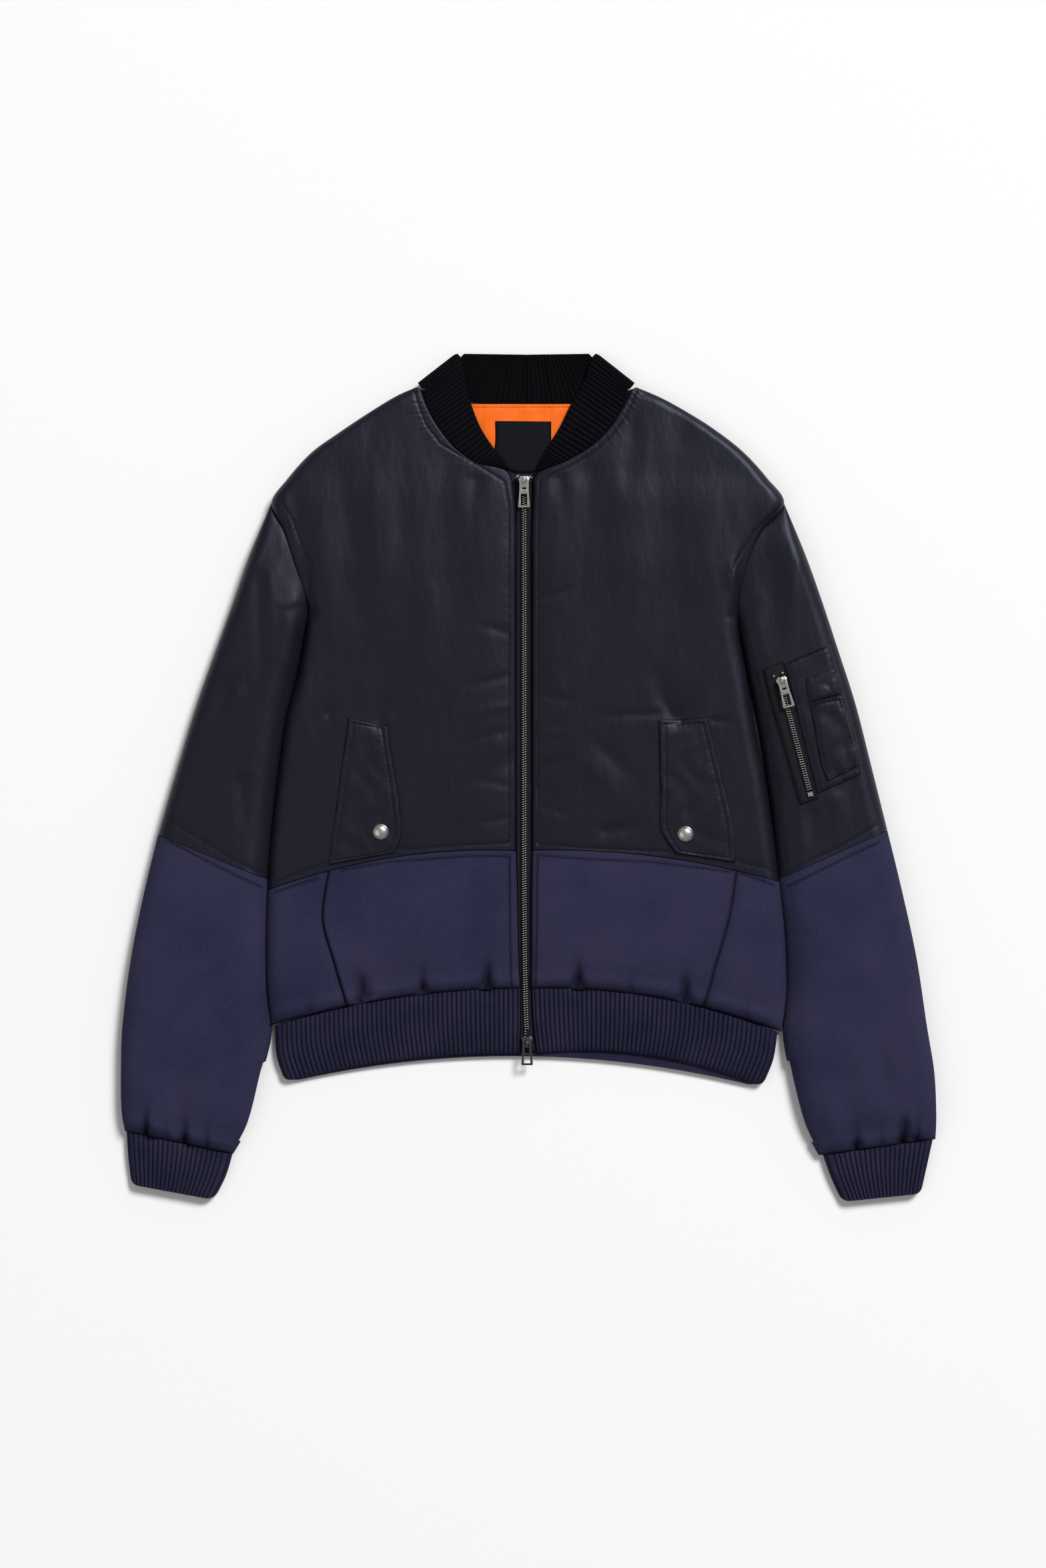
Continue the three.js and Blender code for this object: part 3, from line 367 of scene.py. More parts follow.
# Creases in the cloth: a trough (or a ridge, where depth is positive) from its deep end to its faint end.
# reach is how far it runs on past its deep end.
CREASE_COLUMNS = ("x1", "y1", "x2", "y2", "width", "depth", "reach")
CREASES = table(CREASE_COLUMNS, [
    # Beside the armholes, where the body turns over the sleeves
    (-205, 152, -222, 290, 8, -6, 6),
    (-222, 160, -206, 262, 7, 2, 6),
    (198, 150, 212, 275, 8, -6, 6),
    (213, 165, 200, 268, 7, 2, 6),
    # Long soft bands down the chest
    (-137.2, 255, -128.4, 99.4, 26, 1.3, 110),
    (-119.7, 240, -114.7, 149.4, 13, -1.2, 90),
    (-90.9, 155.6, -97.2, 58, 15, 1.3, 70),
    (-78.4, 220, -73.4, 95.6, 16, -1.1, 80),
    (-189.1, 215, -180.9, 68.1, 16, 1.1, 90),
    (-168.4, 230, -163.4, 105.6, 15, -1.2, 90),
    (99.1, 250, 103.4, 105.6, 26, 1.3, 110),
    (97.2, 318, 91.6, 250, 10, -1.3, 40),
    (125.3, 225, 131.6, 80.6, 19, -1.2, 100),
    (169.1, 215, 174.1, 74.4, 18, 1.2, 100),
    (56.6, 225, 51.6, 95.6, 20, -1.1, 90),
    (-204.7, 165.0, -214.7, -6.9, 6, 2, 30),
    (194.1, 180.6, 225.3, -38.1, 6, 2.4, 30),
    # Fans above the pocket flaps
    (-141, 50, -118, 108, 9, -1.8, 14),
    (139, 52, 112, 118, 9, -2, 14),
    (146, 55, 152, 98, 8, -1.5, 14),
    (-138.4, 54.4, -124.7, 93.1, 4, -1.1, 9),
    (-125.9, 59.4, -110.3, 88.1, 4, -0.9, 9),
    (-188.4, 58.1, -175.9, 71.9, 3.5, -1.2, 3),
    (-132.2, 56.9, -117.2, 90.6, 4, 0.8, 9),
    (136.6, 55.6, 117.8, 86.9, 4.5, -1.2, 9),
    (142.2, 55.6, 144.1, 76.9, 4, -1, 9),
    (145.3, 56.2, 155.3, 71.9, 4, -0.9, 9),
    (139.1, 55.6, 131.6, 83.1, 4, 0.8, 9),
    (147.8, 55.6, 150.3, 74.4, 3.5, 0.7, 9),
    (121.6, 59.4, 49.1, 56.9, 3, -1, 4),
    (172.8, 53.1, 196.6, 52.5, 3, -1, 4),
    # Pulls beside the zip
    (-12, 20, -62, -14, 9, -1.1, 14),
    (4, -8, 48, -34, 9, -1.1, 14),
    (4, 36, 52, 50, 10, -0.9, 14),
    (-26, 137, -64, 147, 3.6, -0.8, 14),
    (-26, 93, -72, 80, 4, -0.9, 14),
    (-26, 42, -66, 30, 3.6, -0.8, 14),
    (-26, -6.5, -61, -0.5, 3.4, -0.7, 14),
    (-26, -39.5, -58, -46, 3.2, -0.7, 14),
    (-26, 66, -64, 56.5, 3.6, 0.7, 14),
    (17, 168.5, 54, 181, 3.6, -0.7, 14),
    (17, 76.5, 60, 65.5, 3.8, -0.8, 14),
    (17, 12, 54, 21.5, 3.6, -0.7, 14),
    (17, -28.5, 50, -39.5, 3.2, -0.7, 14),
    (17, 43, 58, 38.5, 3.6, 0.6, 14),
    (62, 6, 111.6, -44.4, 11, 0.9, 40),
    (76, 20, 115.9, -19.4, 7, -0.8, 35),
    (72.2, -50.6, 122.2, -43.1, 6, -1.2, 10),
    # Down from the neckline and the shoulders
    (-75.9, 288, -93.4, 220, 11, -1, 25),
    (-48.4, 278.1, -55.9, 230.6, 8, -1.4, 8),
    (56.6, 284, 69.1, 220, 11, -1, 25),
    (29.1, 279.4, 35.3, 230.6, 8, -1.2, 8),
    (-143.4, 345, -150.9, 270, 12, -1, 40),
    (137.8, 345, 150.3, 270, 12, -1, 40),
    # On the satin of the sleeves
    (-242.2, 180.6, -240.9, 99.4, 6, 1.6, 20),
    (-250.9, 180.6, -252.2, 68.1, 7, -1.8, 25),
    (-273.4, 74.4, -305.9, 18.1, 6, 1.2, 20),
    (-280.9, 80.6, -312.2, 24.4, 7, -1.2, 20),
    (-305.9, 168.1, -325.9, 43.1, 12, 1.6, 40),
    (-267.2, -6.9, -263.4, -81.9, 7, -1.6, 15),
    (242.2, 243.1, 247.8, 168.1, 7, 2, 30),
    (247.8, 174.4, 241.6, 115.0, 7, 1.6, 45),
    (230.3, 205.6, 225.3, 111.9, 8, -2.4, 30),
    (231.6, -6.9, 256.6, -56.9, 7, -1.4, 15),
    (265.9, -35.0, 264.1, -75.6, 6, -1.2, 10),
    (287.8, -19.4, 295.3, -58.1, 8, 1.2, 10),
    # Gathers into the hem rib
    (-152, -206, -166, -172, 9, -5, 6),
    (-98, -206, -101, -188, 8, -4, 6),
    (-42, -203, -35, -160, 9, -4, 6),
    (47, -201, 55, -170, 9, -5, 6),
    (148, -209, 155, -180, 9, -5, 6),
    (-155.3, -208.1, -164.7, -175.6, 4.5, -2.6, 4),
    (-98.4, -201.9, -100.3, -185.6, 4, -2.2, 4),
    (-39.1, -200.6, -35.9, -160.0, 4.5, -2.6, 4),
    (45.3, -198.1, 47.8, -164.4, 4.5, -2.6, 4),
    (145.3, -206.9, 147.8, -178.8, 4.5, -2.6, 4),
    (-93.4, -169.4, -87.2, -88.1, 20, 2.6, 30),
    (87.8, -175.6, 84.7, -88.1, 22, 2.6, 30),
    # Gathers into the cuffs, and the soft folds that rise from them
    (-357, -338, -358, -318, 8, -4, 6),
    (-322, -346, -316, -332, 8, -4, 6),
    (308, -349, 303, -338, 8, -4, 6),
    (352, -344, 354, -318, 9, -5, 6),
    (365, -343, 366, -334, 7, -3, 6),
    (-358.4, -333.1, -359.7, -316.9, 4, -2.4, 3),
    (-323.4, -341.9, -323.4, -328.1, 4, -2.2, 3),
    (-349.7, -325.6, -345.9, -256.9, 12, 3.2, 16),
    (-325.9, -325.6, -315.9, -244.4, 12, -3.4, 16),
    (-294.7, -344.4, -287.2, -281.9, 10, 2.4, 16),
    (-359.1, -194.4, -305.9, -81.9, 20, 2.6, 50),
    (359.1, -339.4, 349.1, -311.9, 4.5, -3, 3),
    (364.1, -338.1, 356.6, -300.6, 5, 1.8, 5),
    (366.6, -339.4, 367.8, -325.6, 3.5, -2, 3),
    (308.4, -346.9, 319.1, -325.6, 4, -2.2, 3),
    (332.8, -281.9, 322.8, -225.6, 10, -3.6, 30),
    (316.6, -294.4, 304.1, -194.4, 16, 3.4, 40),
    (287.8, -331.9, 279.1, -269.4, 10, 2.6, 20),
    # Underarm seams
    (-262.8, -269.4, -271.6, -337.5, 2.5, -1.6, 30),
    (247.2, -269.4, 264.7, -321.9, 2.5, -1.6, 30),
])

# Lines of topstitching, with the piece that each is on. The cloth dips along them and puckers beside them.
STITCH_LINES = [
    ("front_upper_right", [
        (-107.8, 364.4), (-102.2, 345.6), (-95.9, 330), (-82.8, 312.5), (-61.6, 300), (-43.4, 290),
        (-22.8, 276.9), (-18.4, 253.1), (-18.4, 226.9), (-18.4, 105.6), (-18.4, -61.9),
    ]),
    ("front_upper_left", [
        (102.2, 364.5), (99.1, 357.5), (90.9, 336.9), (77.8, 320.6), (61.6, 305), (44.1, 293.8),
        (27.8, 286.2), (10.3, 276.9), (9.1, 226.9), (9.1, 105.6), (9.1, -61.9),
    ]),
    ("front_upper_right", [(-18.4, -61.9), (-55.3, -63.1), (-95.3, -66.2), (-119.7, -67.5)]),
    ("front_upper_right", [(-189.7, -80), (-199.7, -85), (-237.2, -97.5)]),
    ("front_upper_left", [(9.1, -61.9), (54.1, -66.2), (113.4, -68.8), (131.6, -70)]),
    ("front_upper_left", [(194.1, -78.1), (214.1, -83.1), (229, -88)]),
    ("front_upper_right", [
        (-231, 258), (-221, 241.2), (-216, 228.1), (-210, 212), (-203, 198), (-199, 187.5),
    ]),
    ("front_upper_left", [(231, 249.4), (213, 231.9), (201, 213.1), (193, 199.4), (189, 188.1)]),
    ("sleeve_upper_right", [(-334, -41.2), (-274.7, -78.1), (-251, -90)]),
    ("sleeve_upper_left", [(241.6, -88.5), (262.8, -79), (292.8, -64.4), (326, -45)]),
    ("front_lower_right", [(-17.5, -74), (-55.3, -73.8), (-95.3, -76.9), (-130.9, -79.4), (-175.3, -86.9)]),
    ("front_lower_right", [(-197.2, -95), (-218.4, -101.2), (-238, -108.1)]),
    ("front_lower_left", [(8.2, -73), (54.1, -76.9), (113.4, -79.4), (140.3, -82.5), (189, -88.8)]),
    ("front_lower_left", [(199.1, -90), (230, -101.2)]),
    ("front_lower_right", [(-17.8, -75.6), (-17.2, -144.4), (-15.9, -195.6)]),
    ("front_lower_left", [(8.4, -75.6), (7.8, -144.4), (6.6, -195.6)]),
    ("sleeve_lower_right", [(-337, -60), (-274.7, -91.5), (-250, -103.1)]),
    ("sleeve_lower_left", [(243, -102.5), (262.8, -92.5), (292.8, -77.5), (328, -61)]),
]
SEAM_DIP = 0.5
SEAM_DIP_WIDTH = 1.3
PUCKER = 0.24
PUCKER_REACH = 6

# The cloth stands over the ribs below it as a soft roll. Its gathers draw it in: x, width, depth.
ROLL_HEIGHT = 3
ROLL_PLACE = 8
ROLL_WIDTH = 7
ROLL_DROP = 4.2
ROLL_ROUND = 4
FREE_EDGES = {"right": ("x2", "y2"), "left": ("x1", "y1")}
FLAP_SHADE = 0.8
FLAP_REACH = 2.6
EDGE_SHADE = 0.75
EDGE_REACH = 1.1
GATHER_REACH = 19
GATHER_SHADE = 0.17
GATHER_EDGE = 2
GATHERS = {
    "hem": {
        "right": [
            (-156, 5, 6.5), (-145, 6, -1.6), (-99, 4, 4.5), (-38.5, 5, 6.5), (-29, 5, -1.4), (-205, 6, 1.6),
        ],
        "left": [(47, 5, 6.5), (56, 5, -1.5), (147.5, 5, 7), (157, 6, -1.8), (96, 5, 1.6), (204, 6, 1.4)],
    },
    "cuff": {
        "right": [
            (-358, 4, 5), (-351, 4, -1.6), (-339, 4, 2), (-322, 4.5, 5), (-315, 4, -1.4), (-301, 4, 2.4),
        ],
        "left": [(308, 4, 4.5), (316, 4, -1.4), (331, 4, 2), (352, 5, 7), (358, 4, -2), (365, 3, 3.5)],
    },
}

# Small maths on arrays
def mix(a, b, t):
    return a + (b - a) * t


def clamp(t):
    return np.clip(t, 0, 1)


def smooth(t):
    return clamp(t) ** 2 * (3 - 2 * clamp(t))


def quarter_round(t):
    return np.sqrt(1 - (1 - clamp(t)) ** 2)


def bunched(count):
    return (1 - np.cos(np.pi * np.linspace(0, 1, count + 1))) / 2


def along(rows, place):
    """A smooth curve through a table's rows, at places between its first row, 0, and its last."""
    place = np.atleast_1d(np.asarray(place, float))
    last = len(next(iter(rows.values()))) - 1
    i = np.clip(np.floor(place).astype(int), 0, last - 1)
    t = place - i
    ends = [np.clip(i + k, 0, last) for k in (-1, 0, 1, 2)]
    result = {}
    for name, values in rows.items():
        a, b, c, d = (values[k] for k in ends)
        result[name] = (
            b * (2 * t**3 - 3 * t**2 + 1)
            + (c - a) / 2 * (t**3 - 2 * t**2 + t)
            + c * (3 * t**2 - 2 * t**3)
            + (d - b) / 2 * (t**3 - t**2)
        )
    return result


def down_rows(row):
    """The same table with each value as a column, to spread a grid across it."""
    return {name: values[:, None] for name, values in row.items()}


def from_line(points, x, y):
    """The signed distance of each place from a line, and how far along the line it is nearest."""
    nearest = np.full(np.broadcast(x, y).shape, 1e9)
    beside = np.zeros_like(nearest)
    arc = np.zeros_like(nearest)
    start = 0
    for (x1, y1), (x2, y2) in zip(points[:-1], points[1:]):
        dx, dy = x2 - x1, y2 - y1
        length = math.hypot(dx, dy)
        t = clamp(((x - x1) * dx + (y - y1) * dy) / length**2)
        gap = np.hypot(x - x1 - t * dx, y - y1 - t * dy)
        side = np.where((x - x1) * dy - (y - y1) * dx < 0, -1, 1)
        closer = gap < nearest
        nearest = np.where(closer, gap, nearest)
        beside = np.where(closer, gap * side, beside)
        arc = np.where(closer, start + t * length, arc)
        start += length
    return beside, arc


def uneven(arc, seed):
    """Small waves of uneven length, between -1 and 1."""
    return (
        0.5 * np.sin(arc * 2 * np.pi / 5.3 + seed)
        + 0.3 * np.sin(arc * 2 * np.pi / 8.9 + 2.3 * seed)
        + 0.2 * np.sin(arc * 2 * np.pi / 3.7 + 4.1 * seed)
    )


def sewn(x, y):
    """How far the sewing draws the cloth down, and the shade in the dip, at each place."""
    depth = np.zeros(np.broadcast(x, y).shape)
    shade = np.zeros_like(depth)
    for i, (_, points) in enumerate(STITCH_LINES):
        xs, ys = zip(*points)
        if np.max(x) < min(xs) - 20 or np.min(x) > max(xs) + 20:
            continue
        if np.max(y) < min(ys) - 20 or np.min(y) > max(ys) + 20:
            continue
        beside, arc = from_line(points, x, y)
        waves = PUCKER * uneven(arc + 0.35 * beside, i) * (0.7 + 0.3 * np.sin(arc / 37 + i))
        dip = np.exp(-((beside / SEAM_DIP_WIDTH) ** 2))
        depth += waves * np.exp(-((beside / PUCKER_REACH) ** 2)) - SEAM_DIP * dip
        shade = np.maximum(shade, dip * (0.75 + 0.25 * uneven(arc, i)))
    return depth, shade


def beside_flaps(x, y):
    """The shade on the fronts beside the flaps' free edges."""
    shade = np.zeros(np.broadcast(x, y).shape)
    for side, (across, down) in FREE_EDGES.items():
        beside, _ = from_line(list(zip(FLAP[side][across], FLAP[side][down])), x, y)
        shade = np.maximum(shade, FLAP_SHADE * np.exp(-((beside / FLAP_REACH) ** 2)))
    return shade


def rolled(x, y):
    """How far the cloth stands over the ribs below it, and the shade at its edge and in its gathers."""
    depth = np.zeros(np.broadcast(x, y).shape)
    shade = np.zeros_like(depth)
    for name, ends in (("hem", LOWER), ("cuff", SLEEVE_LOWER)):
        for side in SIDES:
            row = {key: values[-1] for key, values in ends[side].items()}
            xs, ys = row_point(row, np.linspace(0, 1, 13))[:2]
            near = (x > min(xs) - 3) & (x < max(xs) + 3) & (y < max(ys) + 40) & (y > min(ys) - 3)
            if not near.any():
                continue
            beside, _ = from_line(list(zip(xs, ys)), x, y)
            above = SIGN[side] * beside
            draw = 0
            for at, width, deep in GATHERS[name][side]:
                away = (x - at) / width
                draw = draw + deep * np.exp(-np.where(away < 0, away, GATHER_EDGE * away) ** 2)
            roll = ROLL_HEIGHT * np.exp(-(((above - ROLL_PLACE) / ROLL_WIDTH) ** 2))
            roll = roll - draw * np.exp(-((above / GATHER_REACH) ** 2)) * clamp(0.35 + above / ROLL_ROUND)
            roll = roll - ROLL_DROP * (1 - quarter_round(above / ROLL_ROUND))
            inside = near & (above > -0.25)
            depth = np.where(inside, roll, depth)
            edge = 0.9 * np.exp(-((above / 1.6) ** 2))
            dark = clamp(GATHER_SHADE * draw) * np.exp(-((above / GATHER_REACH) ** 2))
            shade = np.where(inside, np.maximum(edge, dark), shade)
    return depth, shade


def folded(x, y):
    """How far the sewing, the gathers and the creases move the cloth, at each place."""
    depth = sewn(x, y)[0] + rolled(x, y)[0]
    for x1, y1, x2, y2, width, deep, reach in zip(*CREASES.values()):
        dx, dy = x2 - x1, y2 - y1
        length = math.hypot(dx, dy)
        t = ((x - x1) * dx + (y - y1) * dy) / length**2
        beside = ((x - x1) * dy - (y - y1) * dx) / length / width
        depth += deep * np.exp(-(beside**2)) * smooth(1 + t * length / reach) * (1 - smooth(t))
    return depth


# Meshes
def make_mesh(name, vertices, faces, uv=None, shade=None):
    """A mesh object in metres, from millimetres, with its faces turned outwards."""
    vertices = np.asarray(vertices, float) * MM
    faces = np.asarray(faces)
    a, b, c = (vertices[faces[:, k]] for k in (0, 1, 2))
    volume = np.einsum("ij,ij->i", a, np.cross(b, c)).sum()
    if faces.shape[1] == 4:
        d = vertices[faces[:, 3]]
        volume += np.einsum("ij,ij->i", a, np.cross(c, d)).sum()
    if volume < 0:
        faces = faces[:, ::-1]
    mesh = bpy.data.meshes.new(name)
    mesh.from_pydata(vertices.tolist(), [], faces.tolist())
    mesh.shade_smooth()
    mesh.set_sharp_from_angle(angle=SHARP_ANGLE)
    if uv is not None:
        layer = mesh.uv_layers.new(name="cloth")
        layer.data.foreach_set("uv", (np.asarray(uv)[faces.ravel()] * MM).ravel())
    if shade is not None:
        mesh.attributes.new("shade", "FLOAT", "POINT").data.foreach_set("value", shade)
    mesh.validate()
    obj = bpy.data.objects.new(name, mesh)
    bpy.context.scene.collection.objects.link(obj)
    return obj


def wall(name, outer, inner, ring=False, shade=0):
    """A closed wall between two grids of points. A ring's last column joins its first."""
    rows, columns = outer.shape[:2]
    half = rows * columns
    index = np.arange(half).reshape(rows, columns)
    if ring:
        index = np.concatenate([index, index[:, :1]], axis=1)

    def quads(a, b, c, d):
        return np.stack([a.ravel(), b.ravel(), c.ravel(), d.ravel()], axis=1)

    faces = [
        quads(index[:-1, :-1], index[:-1, 1:], index[1:, 1:], index[1:, :-1]),
        half + quads(index[:-1, :-1], index[1:, :-1], index[1:, 1:], index[:-1, 1:]),
        quads(index[0, 1:], index[0, :-1], half + index[0, :-1], half + index[0, 1:]),
        quads(index[-1, :-1], index[-1, 1:], half + index[-1, 1:], half + index[-1, :-1]),
    ]
    if not ring:
        faces.append(quads(index[:-1, 0], index[1:, 0], half + index[1:, 0], half + index[:-1, 0]))
        faces.append(quads(index[1:, -1], index[:-1, -1], half + index[:-1, -1], half + index[1:, -1]))
    across = np.linalg.norm(np.diff(outer, axis=1), axis=2).cumsum(axis=1)
    across = np.concatenate([np.zeros((rows, 1)), across], axis=1)
    across -= across.mean(axis=1, keepdims=True)
    down = np.linalg.norm(np.diff(outer, axis=0), axis=2).mean(axis=1).cumsum()
    down = np.concatenate([[0], down])[:, None] * np.ones((1, columns))
    uv = np.stack([across, down], axis=2).reshape(-1, 2)
    points = np.concatenate([outer.reshape(-1, 3), inner.reshape(-1, 3)])
    shade = np.broadcast_to(shade, (rows, columns)).ravel()
    both_uv, both_shade = np.concatenate([uv, uv]), np.concatenate([shade, shade])
    return make_mesh(name, points, np.concatenate(faces), both_uv, both_shade)


def grid_area(points):
    """The area of a grid's surface, in square metres, and its mean width and length in metres."""
    across = np.diff(points, axis=1)
    down = np.diff(points, axis=0)
    area = np.linalg.norm(np.cross(across[:-1], down[:, :-1]), axis=2).sum() * MM * MM
    width = np.linalg.norm(across, axis=2).sum(axis=1).max() * MM
    length = np.linalg.norm(down, axis=2).sum(axis=0).max() * MM
    return area, width, length


def cloth(obj, outer, node, material, ring=False):
    """Gives a piece of cloth that stands for a node its material, hangs it on the jacket and hides the node's
    part.
    """
    points = np.concatenate([outer, outer[:, :1]], axis=1) if ring else outer
    area, width, length = grid_area(points)
    width = max(width, NARROWEST_CUT)
    obj.data.materials.append(material)
    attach(obj, "jacket")
    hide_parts(node)
    return obj


# Surfaces of the cloth
def row_point(row, s):
    x = mix(row["outX"], row["inX"], s)
    y = mix(row["outY"], row["inY"], s) + 4 * row.get("bow", 0) * s * (1 - s)
    return x, y, np.hypot(row["inX"] - row["outX"], row["inY"] - row["outY"])


def front_height(row, s, side_round=SIDE_ROUND):
    x, y, width = row_point(row, s)
    side = quarter_round(s * width / np.minimum(side_round, 0.6 * width))
    centre = quarter_round((1 - s) * width / np.minimum(CENTRE_ROUND, 0.3 * width))
    valley = ZIP_VALLEY * np.exp(-(((x - ZIP_X) / 20) ** 2)) * clamp((row["rise"] - 13) / 5)
    step = CENTRE_STEP * clamp((row["rise"] - 8) / 12) * (1 - centre)
    plain = row["rise"] + folded(x, y) - valley - step
    return np.maximum(row["edge"], mix(row["edge"], plain, side))


def front_grid(row, s):
    x, y, _ = row_point(row, s)
    outer = np.stack(np.broadcast_arrays(x, y, front_height(row, s)), axis=2)
    inner = outer.copy()
    inner[..., 2] = FRONT_BOTTOM
    return outer, inner


def back_grid(right, left, s, bow, layer):
    width = left["outX"] - right["outX"]
    x = mix(right["outX"], left["outX"], s)
    y = mix(right["outY"], left["outY"], s) + 4 * bow * s * (1 - s)
    near = np.minimum(s, 1 - s) * width
    edge = np.where(s < 0.5, right["under"], left["under"])
    z = edge * (1 - quarter_round(near / np.minimum(UNDER_ROUND, 0.4 * width)))
    outer = np.stack(np.broadcast_arrays(x, y, z), axis=2)
    inner = np.stack(np.broadcast_arrays(x, y, layer), axis=2)
    return outer, inner


def sleeve_surface(side, row, place, top, rounds, head):
    """Points on a sleeve's top or under side, drawn to the armhole where head is 1."""
    x, y, width = row_point(row, place)
    x = x - SIGN[side] * TUCK * smooth(place * 12 - 11) * (row["innerEdge"] < 8)
    edge = mix(row["outerEdge"], row["innerEdge"], place)
    near = quarter_round(place * width / np.minimum(rounds[0] if top else rounds[2], 0.45 * width))
    far = quarter_round((1 - place) * width / np.minimum(rounds[1] if top else rounds[2], 0.45 * width))
    if top:
        z = mix(edge, row["rise"] + folded(x, y), near * far)
    else:
        z = edge * (1 - near * far)
    points = np.stack(np.broadcast_arrays(x, y, z), axis=2)
    if head is None:
        return points
    seam = along(FRONT[side], mix(SHOULDER_TIP, UNDERARM, place))
    end = np.minimum(place, 1 - place) < 1e-6
    height = np.where(end, (seam["edge"] + seam["under"]) / 2, seam["edge"] if top else seam["under"])
    goal = np.stack([seam["outX"] + SIGN[side] * ARMHOLE_GAP, seam["outY"], height], axis=1)
    return mix(points, goal[None], head[:, None, None])


def sleeve_rings(side, row, top_places, under_places, rounds=SLEEVE_ROUNDS, head=None, relief=None):
    """Grids of a sleeve's outer and inner points, round from the outer edge over the top and back beneath."""
    row = down_rows(row)
    width = row_point(row, 0)[2]

    def half(places, top):
        places = np.asarray(places)
        outer = sleeve_surface(side, row, places, top, rounds, head)
        if top and relief is not None:
            outer[..., 2] += relief
        share = float(np.mean(SLEEVE_WALL / width))
        inward = mix(share, 1 - share, places)
        above = sleeve_surface(side, row, inward, True, rounds, head)
        below = sleeve_surface(side, row, inward, False, rounds, head)
        inner = mix(above, below, 0.5)
        end = (places == 0) | (places == 1)
        inner[..., 2] += np.where(end, 0, SLOT / 2 if top else -SLOT / 2)
        return outer, inner

    top_outer, top_inner = half(top_places, True)
    low_outer, low_inner = half(under_places[1:-1][::-1], False)
    return np.concatenate([top_outer, low_outer], axis=1), np.concatenate([top_inner, low_inner], axis=1)


def on_rows(rows, height):
    """A function that gives a surface's height at x and y, from rows that run across it."""
    last = len(rows["outX"]) - 1
    rising = rows["outY"][-1] > rows["outY"][0]

    def at(x, y):
        x, y = np.broadcast_arrays(np.asarray(x, float), np.asarray(y, float))
        low, high = np.zeros(x.size), np.full(x.size, float(last))
        flat_x, flat_y = x.ravel(), y.ravel()
        for _ in range(22):
            middle = (low + high) / 2
            row = along(rows, middle)
            share = clamp((flat_x - row["outX"]) / (row["inX"] - row["outX"]))
            up = (row_point(row, share)[1] < flat_y) == rising
            low, high = np.where(up, middle, low), np.where(up, high, middle)
        row = along(rows, low)
        share = clamp((flat_x - row["outX"]) / (row["inX"] - row["outX"]))
        return height(row, share).reshape(x.shape)

    return at


def sleeve_top(row, share):
    x, y, width = row_point(row, share)
    edge = mix(row["outerEdge"], row["innerEdge"], share)
    near = quarter_round(share * width / np.minimum(SLEEVE_ROUNDS[0], 0.45 * width))
    far = quarter_round((1 - share) * width / np.minimum(SLEEVE_ROUNDS[1], 0.45 * width))
    return mix(edge, row["rise"] + folded(x, y), near * far)


ON_FRONT = {side: on_rows(FRONT[side], front_height) for side in SIDES}
ON_LOWER = {side: on_rows(LOWER[side], front_height) for side in SIDES}
ON_SLEEVE = {side: on_rows(SLEEVE_UPPER[side], sleeve_top) for side in SIDES}
ON_LOWER_SLEEVE = {side: on_rows(SLEEVE_LOWER[side], sleeve_top) for side in SIDES}


SURFACES = {
    part + "_" + side: surface[side]
    for part, surface in (
        ("front_upper", ON_FRONT), ("front_lower", ON_LOWER), ("sleeve_upper", ON_SLEEVE),
        ("sleeve_lower", ON_LOWER_SLEEVE),
    )
    for side in SIDES
}


def patch_places(rows, v, u):
    """Places on a patch, with the distances to its sides and to its ends."""
    row = along(rows, v.ravel() * (len(rows["x1"]) - 1))
    row = {name: value.reshape(v.shape) for name, value in row.items()}
    x, y = mix(row["x1"], row["x2"], u), mix(row["y1"], row["y2"], u)
    width = np.hypot(row["x2"] - row["x1"], row["y2"] - row["y1"])
    length = math.hypot(rows["x1"][-1] - rows["x1"][0], rows["y1"][-1] - rows["y1"][0])
    return x, y, width, length


def patch_grid(rows, surface, lift, thickness, inset=3.2, crumple=0.3, raised=None):
    """A turned and stitched patch that lies on a surface: its grids, and its shade."""
    rough = patch_places(rows, np.array([[0.5]]), np.array([[0.5]]))
    down, across = cells(rough[3], 0.0014), cells(float(rough[2][0, 0]), 0.0014)
    v, u = np.meshgrid(np.linspace(0, 1, down + 1), np.linspace(0, 1, across + 1), indexing="ij")
    x, y, width, length = patch_places(rows, v, u)
    side = np.minimum(u, 1 - u) * width
    end = np.minimum(v, 1 - v) * length
    near = np.minimum(side, end)
    arc = np.where(side < end, v * length, u * width)
    dip = np.exp(-(((near - inset) / 1.1) ** 2)) if inset else 0 * near
    waves = 0.6 * PUCKER * uneven(arc, len(rows["x1"])) * np.exp(-(((near - inset) / 4) ** 2))
    creases = np.sin(x / 5.1 + 1.3 * np.sin(y / 9.7)) * np.sin(y / 6.3 + np.sin(x / 7.9))
    plain = surface(x, y) + lift
    turned = thickness * mix(0.4, 1, quarter_round(near / 2))
    z = plain + turned + (waves + crumple * creases) * clamp(near / 2) - 0.5 * dip
    if raised:
        at_x, at_y, radius, height = raised
        z += height * smooth((radius - np.hypot(x - at_x, y - at_y)) / 1.6)
    outer = np.stack([x, y, np.maximum(z, plain + 0.3)], axis=2)
    inner = np.stack([x, y, plain], axis=2)
    return outer, inner, np.maximum(0.8 * dip, EDGE_SHADE * np.exp(-((near / EDGE_REACH) ** 2)))


